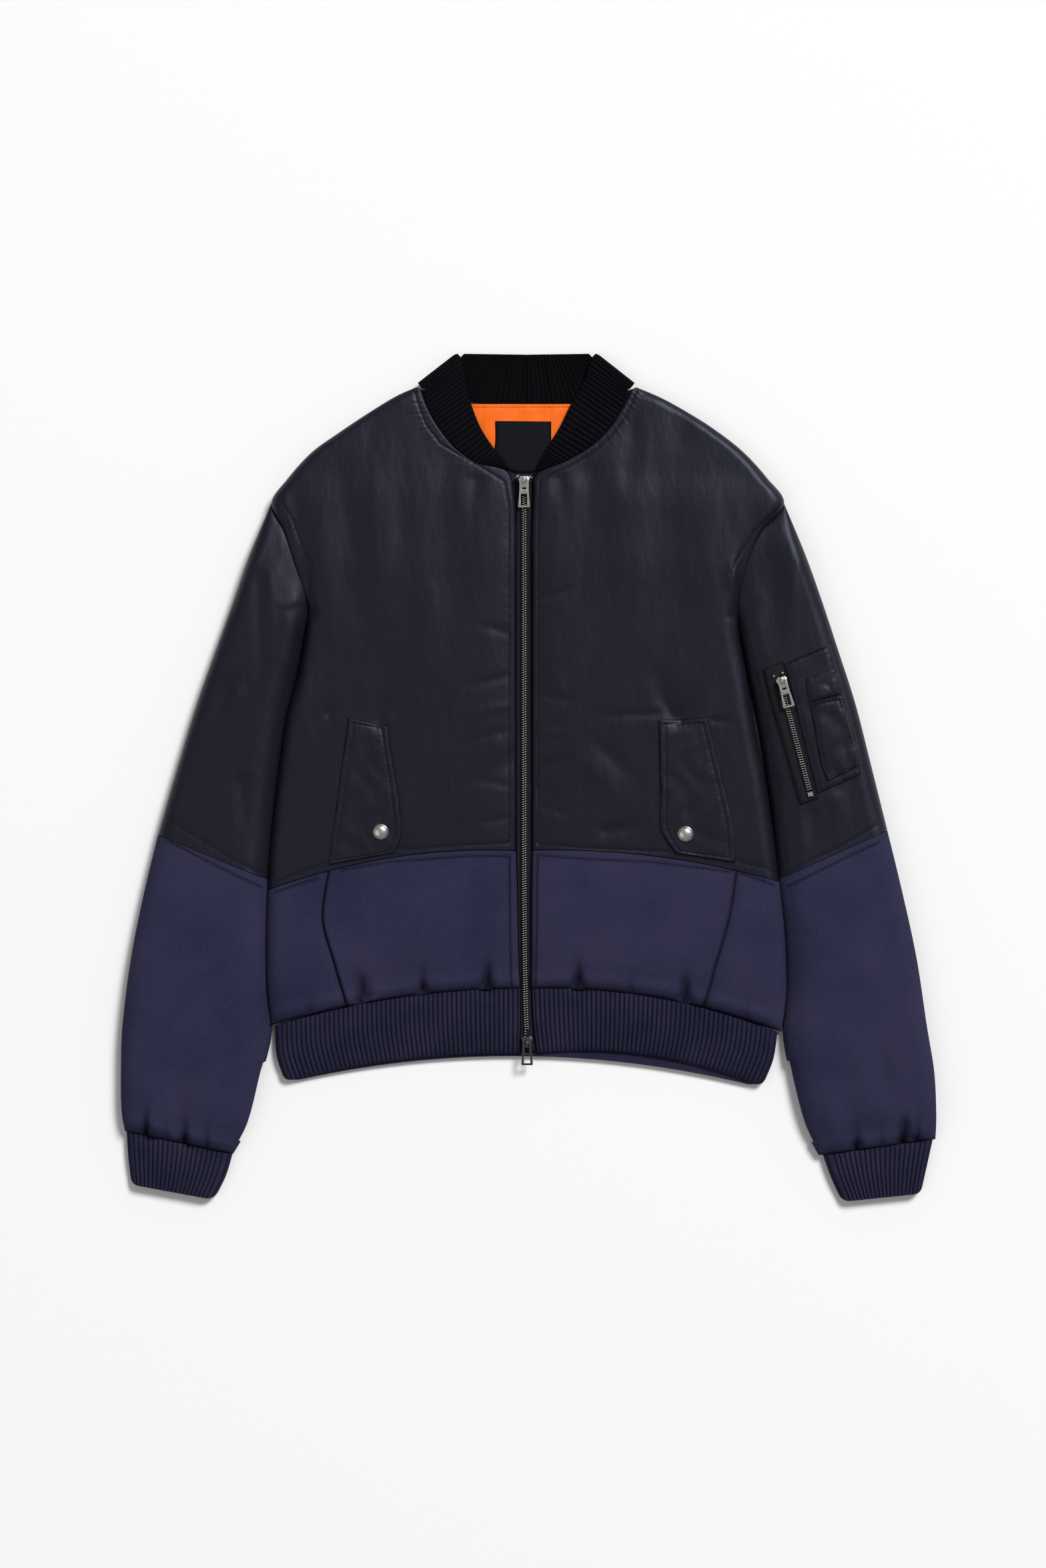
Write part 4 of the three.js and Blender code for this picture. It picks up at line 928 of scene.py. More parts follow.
def patch_path(rows, surface, height, inset, sides=("start", "end", "top", "bottom")):
    """Lines of stitches inside a patch's edges."""
    width = float(patch_places(rows, np.array([[0.5]]), np.array([[0.5]]))[2][0, 0])
    length = patch_places(rows, np.array([[0.5]]), np.array([[0.5]]))[3]
    u0, v0 = inset / width, inset / length
    steps = np.linspace(0, 1, 25)
    lines = {
        "start": (mix(v0, 1 - v0, steps), u0 + 0 * steps),
        "end": (mix(v0, 1 - v0, steps), 1 - u0 + 0 * steps),
        "top": (v0 + 0 * steps, mix(u0, 1 - u0, steps)),
        "bottom": (1 - v0 + 0 * steps, mix(u0, 1 - u0, steps)),
    }
    paths = []
    for side in sides:
        v, u = lines[side]
        x, y, _, _ = patch_places(rows, v, u)
        paths.append(np.stack([x, y, surface(x, y) + height], axis=1))
    return paths


# Materials
def new_material(name):
    material = bpy.data.materials.new(name)
    material.use_nodes = True
    tree = material.node_tree
    return material, tree, tree.nodes["Principled BSDF"]


def link(tree, a, b):
    tree.links.new(a, b)


def add_group(name, inputs, outputs):
    """A shader node group with named numbers in and out."""
    group = bpy.data.node_groups.new(name, "ShaderNodeTree")
    for label, value in inputs.items():
        socket = group.interface.new_socket(label, in_out="INPUT", socket_type="NodeSocketFloat")
        socket.default_value = value
    for label in outputs:
        group.interface.new_socket(label, in_out="OUTPUT", socket_type="NodeSocketFloat")
    return group, group.nodes.new("NodeGroupInput"), group.nodes.new("NodeGroupOutput")


def add_math(tree, operation, *values):
    """A math node whose inputs are sockets or numbers."""
    node = tree.nodes.new("ShaderNodeMath")
    node.operation = operation
    for socket, value in zip(node.inputs, values):
        if isinstance(value, (int, float)):
            socket.default_value = value
        else:
            link(tree, value, socket)
    return node.outputs[0]


def add_noise(tree, place, scale, detail=2.0, stretch=None):
    """Noise at a scale that is a socket or a number, as a height from 0 to 1."""
    if stretch:
        mapping = tree.nodes.new("ShaderNodeMapping")
        mapping.inputs["Scale"].default_value = stretch
        link(tree, place, mapping.inputs["Vector"])
        place = mapping.outputs["Vector"]
    noise = tree.nodes.new("ShaderNodeTexNoise")
    noise.inputs["Detail"].default_value = detail
    link(tree, place, noise.inputs["Vector"])
    if isinstance(scale, (int, float)):
        noise.inputs["Scale"].default_value = scale
    else:
        link(tree, scale, noise.inputs["Scale"])
    return noise.outputs["Fac"]


def wear_group():
    """Uneven colour and tiny relief: heathered yarn, rubbed cloth or handled metal."""
    tree, inputs, outputs = add_group(
        "Uneven surface", {"Fine scale": 900, "Broad scale": 40, "Broad share": 0.4, "Contrast": 1},
        ("Height", "Mask"),
    )
    place = tree.nodes.new("ShaderNodeTexCoord").outputs["Object"]
    fine = add_noise(tree, place, inputs.outputs["Fine scale"], 3)
    broad = add_noise(tree, place, inputs.outputs["Broad scale"], 3)
    share = inputs.outputs["Broad share"]
    fine_share = add_math(tree, "SUBTRACT", 1.0, share)
    total = add_math(tree, "MULTIPLY_ADD", broad, share, add_math(tree, "MULTIPLY", fine, fine_share))
    centred = add_math(tree, "SUBTRACT", total, 0.5)
    mask = add_math(tree, "MULTIPLY_ADD", centred, inputs.outputs["Contrast"], 0.5)
    mask = add_math(tree, "MINIMUM", add_math(tree, "MAXIMUM", mask, 0.0), 1.0)
    link(tree, fine, outputs.inputs["Height"])
    link(tree, mask, outputs.inputs["Mask"])
    return tree


def rumple_group():
    """Long, faint unevenness of thin cloth that hangs."""
    tree, inputs, outputs = add_group("Rumple", {"Scale": 70}, ("Height",))
    place = tree.nodes.new("ShaderNodeTexCoord").outputs["Object"]
    height = add_noise(tree, place, inputs.outputs["Scale"], 3, (1, 0.35, 1))
    link(tree, height, outputs.inputs["Height"])
    return tree


def weave_group():
    """Crossing threads, from the cloth's own flat coordinates in metres."""
    threads = {"Threads across": 2400, "Threads along": 1600, "Slant": 0}
    tree, inputs, outputs = add_group("Weave", threads, ("Height",))
    uv = tree.nodes.new("ShaderNodeUVMap")
    uv.uv_map = "cloth"
    split = tree.nodes.new("ShaderNodeSeparateXYZ")
    link(tree, uv.outputs["UV"], split.inputs["Vector"])
    slanted = add_math(tree, "MULTIPLY_ADD", split.outputs["Y"], inputs.outputs["Slant"], split.outputs["X"])
    warp = add_math(tree, "SINE", add_math(tree, "MULTIPLY", slanted, inputs.outputs["Threads across"]))
    down = add_math(tree, "MULTIPLY", split.outputs["Y"], inputs.outputs["Threads along"])
    weft = add_math(tree, "SINE", down)
    crossed = add_math(tree, "MULTIPLY", warp, weft)
    link(tree, add_math(tree, "MULTIPLY_ADD", crossed, 0.5, 0.5), outputs.inputs["Height"])
    return tree


def painted_shade_group():
    """Painted shade: a darker tone down in seams and between ribs, from the mesh's own shade attribute."""
    tree, inputs, outputs = add_group("Painted shade", {"Darkness": 0.5}, ("Tone",))
    shade = tree.nodes.new("ShaderNodeAttribute")
    shade.attribute_name = "shade"
    dark = add_math(tree, "MULTIPLY", shade.outputs["Fac"], inputs.outputs["Darkness"])
    link(tree, add_math(tree, "SUBTRACT", 1.0, dark), outputs.inputs["Tone"])
    return tree


RUMPLE_SCALE = 75
RUMPLE_DEPTH = 0.0016
GROUPS = {}
MATERIALS = {}


def use_group(tree, name, **values):
    node = tree.nodes.new("ShaderNodeGroup")
    node.node_tree = GROUPS[name]
    for label, value in values.items():
        node.inputs[label.replace("_", " ")].default_value = value
    return node


def add_bump(tree, height, strength, distance, under=None):
    bump = tree.nodes.new("ShaderNodeBump")
    bump.inputs["Strength"].default_value = strength
    bump.inputs["Distance"].default_value = distance
    link(tree, height, bump.inputs["Height"])
    if under:
        link(tree, under, bump.inputs["Normal"])
    return bump.outputs["Normal"]


def add_colour(tree, shader, colour, spread, mask, tone=None, warmth=0):
    """A colour that varies with a mask, warmer where it is lighter, and darkened by painted shade through a
    tone.
    """
    ramp = tree.nodes.new("ShaderNodeMix")
    ramp.data_type = "RGBA"
    low, high = (next(s for s in ramp.inputs if s.identifier == key) for key in ("A_Color", "B_Color"))
    turns = (warmth, 0, -warmth)
    low.default_value = (*(c * (1 - spread) * (1 - turn) for c, turn in zip(colour, turns)), 1)
    high.default_value = (*(min(1, c * (1 + spread) * (1 + turn)) for c, turn in zip(colour, turns)), 1)
    link(tree, mask, ramp.inputs["Factor"])
    result = next(s for s in ramp.outputs if s.identifier == "Result_Color")
    if tone:
        shaded = tree.nodes.new("ShaderNodeVectorMath")
        shaded.operation = "MULTIPLY"
        link(tree, result, shaded.inputs[0])
        link(tree, tone, shaded.inputs[1])
        result = shaded.outputs[0]
    link(tree, result, shader.inputs["Base Color"])


# darkness is how strongly the painted shade darkens each cloth's colour
CLOTH_COLUMNS = (
    "roughness", "specular", "sheen", "spread", "warmth", "contrast", "fine", "broad", "bump", "distance",
    "across", "along", "slant", "weave", "darkness", "rumple",
)
CLOTHS = {
    "satin": (0.44, 0.26, 0, 0.3, 0, 2, 2600, 22, 0.12, 0.0002, 4200, 2600, 0, 0.1, 0.45, 0.55),
    "navy_fleece": (0.95, 0.1, 0.1, 0.35, 0.14, 3.2, 1300, 16, 0.7, 0.0006, 2300, 2300, 0.6, 0.15, 0.75, 0),
    "navy_rib": (0.95, 0.08, 0.08, 0.35, 0.1, 3, 1300, 30, 0.6, 0.0005, 900, 3600, 0, 0.5, 0.8, 0),
    "black_rib": (0.95, 0.08, 0.03, 0.3, 0, 2, 1300, 60, 0.6, 0.0005, 900, 3600, 0, 0.5, 0.8, 0),
    "orange_lining": (0.45, 0.25, 0, 0.08, 0.03, 2, 2600, 60, 0.25, 0.0004, 4200, 2600, 0, 0.1, 0.5, 0.7),
    "label_cloth": (0.8, 0.1, 0, 0.2, 0, 1.5, 2400, 300, 0.2, 0.0002, 5000, 5000, 0, 0.4, 0.5, 0),
    "zip_tape": (0.85, 0.2, 0.03, 0.35, 0, 2, 1800, 400, 0.4, 0.0003, 4600, 3000, 1, 0.6, 0.6, 0),
    "satin_thread": (0.8, 0.05, 0, 0.2, 0, 1, 3000, 600, 0.1, 0.0001, 0, 0, 0, 0, 0, 0),
    "navy_thread": (0.8, 0.05, 0, 0.2, 0, 1, 3000, 600, 0.1, 0.0001, 0, 0, 0, 0, 0, 0),
}
METALS = {"silver_metal": (0.24, 0.12), "tooth_metal": (0.34, 0.2), "dark_metal": (0.3, 0.15)}


def look_tint(name):
    """Satin reflects a little blue; other cloth and metal reflect white."""
    return (0.75, 0.78, 1, 1) if name == "satin" else (1, 1, 1, 1)


def build_materials(colours):
    GROUPS.update(uneven=wear_group(), weave=weave_group(), groove=painted_shade_group(), rumple=rumple_group())
    shades = {
        "satin": colours.satin, "navy_fleece": colours.navy, "navy_rib": colours.navy_rib,
        "black_rib": colours.black_rib, "orange_lining": colours.lining, "label_cloth": colours.label,
        "zip_tape": colours.tape, "satin_thread": colours.satin_thread, "navy_thread": colours.navy_thread,
        "silver_metal": colours.nickel, "tooth_metal": colours.teeth, "dark_metal": colours.gunmetal,
    }
    for name, row in CLOTHS.items():
        look = dict(zip(CLOTH_COLUMNS, row))
        material, tree, shader = new_material(name)
        shader.inputs["Roughness"].default_value = look["roughness"]
        shader.inputs["Specular IOR Level"].default_value = look["specular"]
        shader.inputs["Sheen Weight"].default_value = look["sheen"]
        shader.inputs["Sheen Roughness"].default_value = 0.4
        shader.inputs["Sheen Tint"].default_value = tuple(shades[name])
        shader.inputs["Specular Tint"].default_value = look_tint(name)
        uneven_surface = use_group(
            tree, "uneven", Fine_scale=look["fine"], Broad_scale=look["broad"], Contrast=look["contrast"]
        )
        normal = add_bump(tree, uneven_surface.outputs["Height"], look["bump"], look["distance"])
        if look["rumple"]:
            rumple = use_group(tree, "rumple", Scale=RUMPLE_SCALE)
            normal = add_bump(tree, rumple.outputs["Height"], look["rumple"], RUMPLE_DEPTH, normal)
        if look["weave"]:
            weave = use_group(
                tree, "weave", Threads_across=look["across"], Threads_along=look["along"], Slant=look["slant"]
            )
            normal = add_bump(tree, weave.outputs["Height"], look["weave"], 0.0002, normal)
        # Painted shade: the groove group darkens the colour where the mesh's shade attribute marks seams, rib
        # grooves, gathers and edges
        tone = None
        if look["darkness"]:
            tone = use_group(tree, "groove", Darkness=look["darkness"]).outputs["Tone"]
        add_colour(tree, shader, shades[name][:3], look["spread"], uneven_surface.outputs["Mask"], tone,
                   look["warmth"])
        link(tree, normal, shader.inputs["Normal"])
        MATERIALS[name] = material
    for name, (roughness, spread) in METALS.items():
        material, tree, shader = new_material(name)
        shader.inputs["Metallic"].default_value = 1
        worn = use_group(tree, "uneven", Fine_scale=2200, Broad_scale=300, Broad_share=0.7)
        rough = add_math(tree, "MULTIPLY_ADD", worn.outputs["Mask"], 0.3, roughness - 0.1)
        link(tree, rough, shader.inputs["Roughness"])
        add_colour(tree, shader, shades[name][:3], spread, worn.outputs["Mask"])
        link(tree, add_bump(tree, worn.outputs["Height"], 0.06, 0.0001), shader.inputs["Normal"])
        MATERIALS[name] = material


# Repeats made by Geometry Nodes
def repeat_along(name, paths, item, pitch, look, node=None):
    """Copies of a small shape along paths, at a pitch, turned to follow them, as one plain mesh."""
    material = MATERIALS[look]
    curve = bpy.data.curves.new(name + "_path", "CURVE")
    curve.dimensions = "3D"
    for points in paths:
        spline = curve.splines.new("POLY")
        spline.points.add(len(points) - 1)
        for target, point in zip(spline.points, points):
            target.co = (*(c * MM for c in point), 1)
    obj = bpy.data.objects.new(name, curve)
    bpy.context.scene.collection.objects.link(obj)

    tree = bpy.data.node_groups.new(name + "_nodes", "GeometryNodeTree")
    tree.interface.new_socket("Geometry", in_out="INPUT", socket_type="NodeSocketGeometry")
    tree.interface.new_socket("Pitch", in_out="INPUT", socket_type="NodeSocketFloat")
    tree.interface.new_socket("Geometry", in_out="OUTPUT", socket_type="NodeSocketGeometry")
    inputs, outputs = tree.nodes.new("NodeGroupInput"), tree.nodes.new("NodeGroupOutput")
    evenly = tree.nodes.new("GeometryNodeResampleCurve")
    evenly.mode = "LENGTH"
    to_points = tree.nodes.new("GeometryNodeInstanceOnPoints")
    shape = tree.nodes.new("GeometryNodeObjectInfo")
    shape.inputs["Object"].default_value = item
    tangent = tree.nodes.new("GeometryNodeInputTangent")
    turn = tree.nodes.new("FunctionNodeAlignRotationToVector")
    turn.axis = "X"
    turn.pivot_axis = "Z"
    realize = tree.nodes.new("GeometryNodeRealizeInstances")
    finish = tree.nodes.new("GeometryNodeSetMaterial")
    finish.inputs["Material"].default_value = material
    link(tree, inputs.outputs["Geometry"], evenly.inputs["Curve"])
    link(tree, inputs.outputs["Pitch"], evenly.inputs["Length"])
    link(tree, evenly.outputs["Curve"], to_points.inputs["Points"])
    link(tree, shape.outputs["Geometry"], to_points.inputs["Instance"])
    link(tree, tangent.outputs["Tangent"], turn.inputs["Vector"])
    link(tree, turn.outputs["Rotation"], to_points.inputs["Rotation"])
    link(tree, to_points.outputs["Instances"], realize.inputs["Geometry"])
    link(tree, realize.outputs["Geometry"], finish.inputs["Geometry"])
    link(tree, finish.outputs["Geometry"], outputs.inputs["Geometry"])

    modifier = obj.modifiers.new("Repeat", "NODES")
    modifier.node_group = tree
    modifier[next(s.identifier for s in tree.interface.items_tree if s.name == "Pitch")] = pitch * MM
    evaluated = obj.evaluated_get(bpy.context.evaluated_depsgraph_get())
    mesh = bpy.data.meshes.new_from_object(evaluated)
    obj.modifiers.clear()
    for spent in (obj, item):
        bpy.data.objects.remove(spent)
    mesh.name = name
    mesh.shade_smooth()
    if not mesh.materials:
        mesh.materials.append(material)
    piece = bpy.data.objects.new(name, mesh)
    bpy.context.scene.collection.objects.link(piece)
    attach(piece, "jacket")
    if node:
        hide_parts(node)
    return piece


def lozenge(name, length, width, height, rings=5):
    """A small rounded grain that lies along x, as a stitch does."""
    angles = np.linspace(0, 2 * np.pi, 6, endpoint=False)
    places = np.linspace(-1, 1, rings)
    vertices, faces = [], []
    for t in places:
        girth = math.sqrt(max(0.08, 1 - t * t))
        for angle in angles:
            y, z = math.cos(angle) * width / 2, math.sin(angle) * height / 2
            vertices.append((t * length / 2, y * girth, z * girth))
    for i in range(rings - 1):
        for j in range(6):
            k = (j + 1) % 6
            faces.append((i * 6 + j, i * 6 + k, (i + 1) * 6 + k, (i + 1) * 6 + j))
    mesh = bpy.data.meshes.new(name)
    mesh.from_pydata(
        [tuple(c * MM for c in v) for v in vertices], [],
        faces + [tuple(range(5, -1, -1)), tuple(range((rings - 1) * 6, rings * 6))],
    )
    obj = bpy.data.objects.new(name, mesh)
    bpy.context.scene.collection.objects.link(obj)
    return obj


# What the user can change
def colour_property(name, description, default):
    return bpy.props.FloatVectorProperty(
        name=name, description=description, subtype="COLOR", size=4, min=0, max=1, default=(*default, 1)
    )


class JacketColours(bpy.types.PropertyGroup):
    satin: colour_property("Satin", "Upper body and sleeves", (0.0065, 0.0065, 0.0115))
    navy: colour_property("Navy fleece", "Lower body and sleeves", (0.0245, 0.025, 0.0625))
    navy_rib: colour_property("Navy rib", "Cuffs and hem", (0.019, 0.019, 0.045))
    black_rib: colour_property("Black rib", "Collar", (0.0035, 0.0034, 0.0055))
    lining: colour_property("Lining", "Inside of the neck", (0.95, 0.15, 0.006))
    label: colour_property("Label", "Bare neck label", (0.006, 0.0065, 0.009))
    tape: colour_property("Zip tape", "Woven tape beside the zip's teeth", (0.008, 0.008, 0.012))
    satin_thread: colour_property("Black thread", "Topstitching on the satin", (0.004, 0.004, 0.0065))
    navy_thread: colour_property("Navy thread", "Topstitching on the fleece", (0.009, 0.009, 0.024))
    nickel: colour_property("Nickel", "Teeth, snaps and bright pulls", (0.66, 0.63, 0.6))
    teeth: colour_property("Teeth", "Rubbed nickel of the zips' teeth", (0.3, 0.295, 0.285))
    gunmetal: colour_property("Gunmetal", "Lower slider and pull", (0.1, 0.1, 0.11))


class JacketSizes(bpy.types.PropertyGroup):
    grid: bpy.props.FloatProperty(
        name="Cloth grid", description="Distance between the cloth's mesh lines", default=0.0019, min=0.001,
        subtype="DISTANCE", unit="LENGTH",
    )
    rib_pitch: bpy.props.FloatProperty(
        name="Rib pitch", description="Distance between the ribs of hem and cuffs",
        default=0.0044, min=0.002, subtype="DISTANCE", unit="LENGTH",
    )
    rib_relief: bpy.props.FloatProperty(
        name="Rib relief", description="Height of a rib over its groove", default=0.0015, min=0,
        subtype="DISTANCE", unit="LENGTH",
    )
    tooth_pitch: bpy.props.FloatProperty(
        name="Tooth pitch", description="From one tooth of a zip to the next on its side",
        default=0.0022, min=0.001, subtype="DISTANCE", unit="LENGTH",
    )
    stitch: bpy.props.FloatProperty(
        name="Stitch length", description="From one topstitch to the next", default=0.0029, min=0.001,
        subtype="DISTANCE", unit="LENGTH",
    )


def sizes():
    return bpy.context.scene.jacket_sizes


def cells(length, pitch=None):
    """How many cells of the cloth's grid a length in millimetres takes."""
    return max(3, round(length * MM / (pitch or sizes().grid)))


class JacketOperator:
    bl_options = {"REGISTER", "UNDO"}


class JACKET_OT_stage(JacketOperator, bpy.types.Operator):
    """Adds the floor, the studio light, the camera and the materials."""

    bl_idname = "jacket.stage"
    bl_label = "Stage"

    def execute(self, context):
        scene = context.scene
        build_materials(scene.jacket_colours)
        mesh = bpy.data.meshes.new("floor")
        mesh.from_pydata([(-6, -6, 0), (6, -6, 0), (6, 6, 0), (-6, 6, 0)], [], [(0, 1, 2, 3)])
        floor = bpy.data.objects.new("floor", mesh)
        scene.collection.objects.link(floor)
        material, _, shader = new_material("floor")
        shader.inputs["Base Color"].default_value = (0.915, 0.915, 0.915, 1)
        shader.inputs["Roughness"].default_value = 0.95
        shader.inputs["Specular IOR Level"].default_value = 0.1
        mesh.materials.append(material)

        world = bpy.data.worlds.new("studio")
        scene.world = world
        world.use_nodes = True
        world.node_tree.nodes["Background"].inputs["Color"].default_value = (1, 1, 1, 1)
        world.node_tree.nodes["Background"].inputs["Strength"].default_value = 0.27
        for name, place, size, power in (
            ("key", (8.7, 11.4, 15.6), 6.4, 4420),
            ("fill", (-6.3, -2.1, 7.5), 7.5, 110),
        ):
            light = bpy.data.lights.new(name, "AREA")
            light.size = size
            light.energy = power
            lamp = bpy.data.objects.new(name, light)
            lamp.location = place
            lamp.rotation_euler = (-Vector(place)).to_track_quat("-Z", "Y").to_euler()
            scene.collection.objects.link(lamp)

        camera = bpy.data.cameras.new("camera")
        camera.sensor_fit = "VERTICAL"
        camera.sensor_height = 36
        camera.lens = 100
        camera.clip_end = 50
        eye = bpy.data.objects.new("camera", camera)
        eye.location = (-0.005, -0.0064, 4.1)
        scene.collection.objects.link(eye)
        scene.camera = eye
        scene.view_settings.view_transform = "Standard"
        return {"FINISHED"}


def sewing_shade(points):
    """The shade in the seams' dips, in the gathers and beside the flaps."""
    x, y = points[..., 0], points[..., 1]
    return np.maximum(np.maximum(sewn(x, y)[1], rolled(x, y)[1]), beside_flaps(x, y))


def round_corners(grid, radius=CORNER_ROUND):
    """Draws a grid's last rows back beside its ends in plan, so that its lower corners are round."""
    x, y = grid[0, :, 0], grid[0, :, 1]
    ends = [int(np.argmin(x)), int(np.argmax(x))]
    beside = np.min([np.hypot(x - x[i], y - y[i]) for i in ends], axis=0)
    length = np.linalg.norm(np.diff(grid[..., :2], axis=0), axis=2).sum(axis=0)
    share = 1 - radius * (1 - quarter_round(beside / radius)) / length
    places = np.arange(len(grid))[:, None] * share
    low = np.minimum(places.astype(int), len(grid) - 2)
    columns = np.arange(grid.shape[1])[None]
    plan = mix(grid[low, columns, :2], grid[low + 1, columns, :2], (places - low)[..., None])
    return np.concatenate([plan, grid[..., 2:]], axis=2)


class JACKET_OT_body(JacketOperator, bpy.types.Operator):
    """Builds the satin fronts and back and the navy panels below them."""

    bl_idname = "jacket.body"
    bl_label = "Body"

    def execute(self, context):
        places = np.linspace(0, NECK_POINT, cells(464))
        for side in SIDES:
            outer, inner = front_grid(down_rows(along(FRONT[side], places)), bunched(cells(232)))
            name = "front_upper_" + side
            cloth(wall(name + "_cloth", outer, inner, shade=sewing_shade(outer)), outer, name,
                  MATERIALS["satin"])

        places = np.linspace(0, NECK_POINT, cells(464, 0.006))
        right, left = (down_rows(along(FRONT[side], places)) for side in SIDES)
        v = (places / NECK_POINT)[:, None]
        bow = mix(BACK_WAIST_BOW * (1 - smooth(v * 2)), BACK_NECK_BOW, smooth(v * 3 - 2))
        outer, inner = back_grid(right, left, bunched(cells(485, 0.006)), bow, BACK_LAYER)
        inner[..., 2] = mix(BACK_LAYER, NECK_LAYER, smooth((inner[..., 1] - 262) / 20))
        cloth(wall("back_upper_cloth", outer, inner), outer, "back_upper", MATERIALS["satin"])

        for side in SIDES:
            row = down_rows(along(LOWER[side], np.linspace(0, 4, cells(150, FLEECE_GRID))))
            width = abs(row["inX"] - row["outX"])
            seam = abs(row["pocketX"] - row["outX"]) / width
            gap = SEAM / 2 / width
            for part, count in (("side", 64), ("front", 182)):
                u = np.linspace(0, 1, cells(count, FLEECE_GRID))
                if part == "side":
                    share = (seam - gap) * (1 - np.cos(u * np.pi / 2))
                else:
                    share = mix(seam + gap, 1, np.sin(u * np.pi / 2))
                outer, inner = front_grid(row, share)
                beside = abs(share - seam) * width
                outer[..., 2] += (1.2 if part == "front" else -1.6) * np.exp(-((beside / 5) ** 2))
                shade = np.maximum(sewing_shade(outer), 0.9 * np.exp(-((beside / 1.5) ** 2)))
                name = f"{part}_lower_{side}"
                cloth(wall(name + "_cloth", outer, inner, shade=shade), outer, name,
                      MATERIALS["navy_fleece"])

        v = np.linspace(0, 1, 30)
        right, left = (down_rows(along(LOWER[side], v * 4)) for side in SIDES)
        v = v[:, None]
        layer = mix(BACK_LAYER, HEM_LAYER, smooth((v - 0.75) / 0.15))
        outer, inner = back_grid(right, left, bunched(80), mix(BACK_WAIST_BOW, BACK_HEM_BOW, v), layer)
        outer[..., 2] = np.minimum(outer[..., 2], layer - 0.7)
        cloth(wall("back_lower_cloth", outer, inner), outer, "back_lower",
              MATERIALS["navy_fleece"])
        return {"FINISHED"}


def rib_wave(phase):
    """A rib's height over its groove, from 0 to 1, at a phase of whole ribs."""
    return np.abs(np.cos(np.pi * phase)) ** 0.6


def rib_shade(phase):
    """The shade down in the groove between two ribs."""
    return (1 - np.abs(np.cos(np.pi * phase))) ** 2.5


def reach_up(grid):
    """The step, in plan, that brings a knit's first row close to the seam above it."""
    step = (grid[0] - grid[3]) * (1, 1, 0)
    return RIB_REACH * step / np.linalg.norm(step, axis=1, keepdims=True)


class JACKET_OT_ribs(JacketOperator, bpy.types.Operator):
    """Builds the navy rib knit of the hem and the cuffs."""

    bl_idname = "jacket.ribs"
    bl_label = "Hem and cuffs"

    def execute(self, context):
        relief = sizes().rib_relief / MM
        ribs = round(HEM_HALF * MM / sizes().rib_pitch)
        v = np.linspace(0, 2, 15)
        u = np.linspace(0, 1, ribs * RIB_CELLS + 1)
        right, left = (down_rows(along(HEM[side], v)) for side in SIDES)
        grids, shades = [], []
        for side, row in (("right", right), ("left", left)):
            x, y, _ = row_point(row, 1 - u)
            z = front_height(row, 1 - u, 8) + relief * (rib_wave(u * ribs) - 0.5) * clamp((1 - u) * 30)
            fold = quarter_round((2 - v[:, None]) / 0.3)
            z = mix(HEM_LAYER + 2.5, z, fold)
            outer = np.stack(np.broadcast_arrays(x, y, z), axis=2)
            inner = outer.copy()
            inner[..., 0] -= SIGN[side] * 6 * u**3
            inner[..., 2] = HEM_LAYER + SEAM
            inner[0, :, 1] += RIB_TUCK
            grids.append((outer, inner))
            shades.append(np.broadcast_to(rib_shade(u * ribs), z.shape))
        s = bunched(90)[1:-1]
        bow = mix(BACK_HEM_BOW, BACK_FOLD_BOW, v[:, None] / 2)
        outer, inner = back_grid(right, left, s, bow, HEM_LAYER)
        inner[..., 0] = mix(right["outX"] + 6, left["outX"] - 6, s)
        outer = np.concatenate([grids[0][0], outer, grids[1][0][:, ::-1]], axis=1)
        inner = np.concatenate([grids[0][1], inner, grids[1][1][:, ::-1]], axis=1)
        shade = np.concatenate([shades[0], np.zeros((len(v), len(s))), shades[1][:, ::-1]], axis=1)
        outer, inner = round_corners(outer), round_corners(inner)
        for grid in (outer, inner):
            grid[0] += reach_up(grid)
        cloth(wall("hem_rib_knit", outer, inner, shade=shade), outer, "hem_rib",
              MATERIALS["navy_rib"])

        for side in SIDES:
            v = np.linspace(0, 2, 15)
            u = np.linspace(0, 1, CUFF_RIBS * RIB_CELLS + 1)
            wave = relief * (rib_wave(u * CUFF_RIBS) - 0.5) * clamp(np.minimum(u, 1 - u) * 12)
            row = along(CUFF[side], v)
            outer, inner = sleeve_rings(side, row, u, bunched(40), CUFF_ROUNDS, relief=wave)
            outer, inner = round_corners(outer), round_corners(inner)
            for grid in (outer, inner):
                grid[0] += reach_up(grid)
            shade = np.concatenate([rib_shade(u * CUFF_RIBS), np.zeros(outer.shape[1] - len(u))])
            name = "cuff_" + side
            cloth(wall(name + "_knit", outer, inner, True, shade), outer, name,
                  MATERIALS["navy_rib"], ring=True)
        return {"FINISHED"}


class JACKET_OT_sleeves(JacketOperator, bpy.types.Operator):
    """Builds the satin upper sleeves and the navy lower sleeves."""

    bl_idname = "jacket.sleeves"
    bl_label = "Sleeves"

    def execute(self, context):
        for side in SIDES:
            v = np.linspace(0, 1, cells(310))
            row = along(SLEEVE_UPPER[side], v * 6)
            outer, inner = sleeve_rings(
                side, row, bunched(cells(110)), bunched(24), head=1 - smooth(v * 6)
            )
            name = "sleeve_upper_" + side
            cloth(wall(name + "_cloth", outer, inner, True, sewing_shade(outer)), outer, name,
                  MATERIALS["satin"], ring=True)
            v = np.linspace(0, 1, cells(290, FLEECE_GRID))
            around = bunched(cells(140, FLEECE_GRID))
            outer, inner = sleeve_rings(side, along(SLEEVE_LOWER[side], v * 6), around, bunched(24))
            name = "sleeve_lower_" + side
            cloth(wall(name + "_cloth", outer, inner, True, sewing_shade(outer)), outer, name,
                  MATERIALS["navy_fleece"], ring=True)
        return {"FINISHED"}


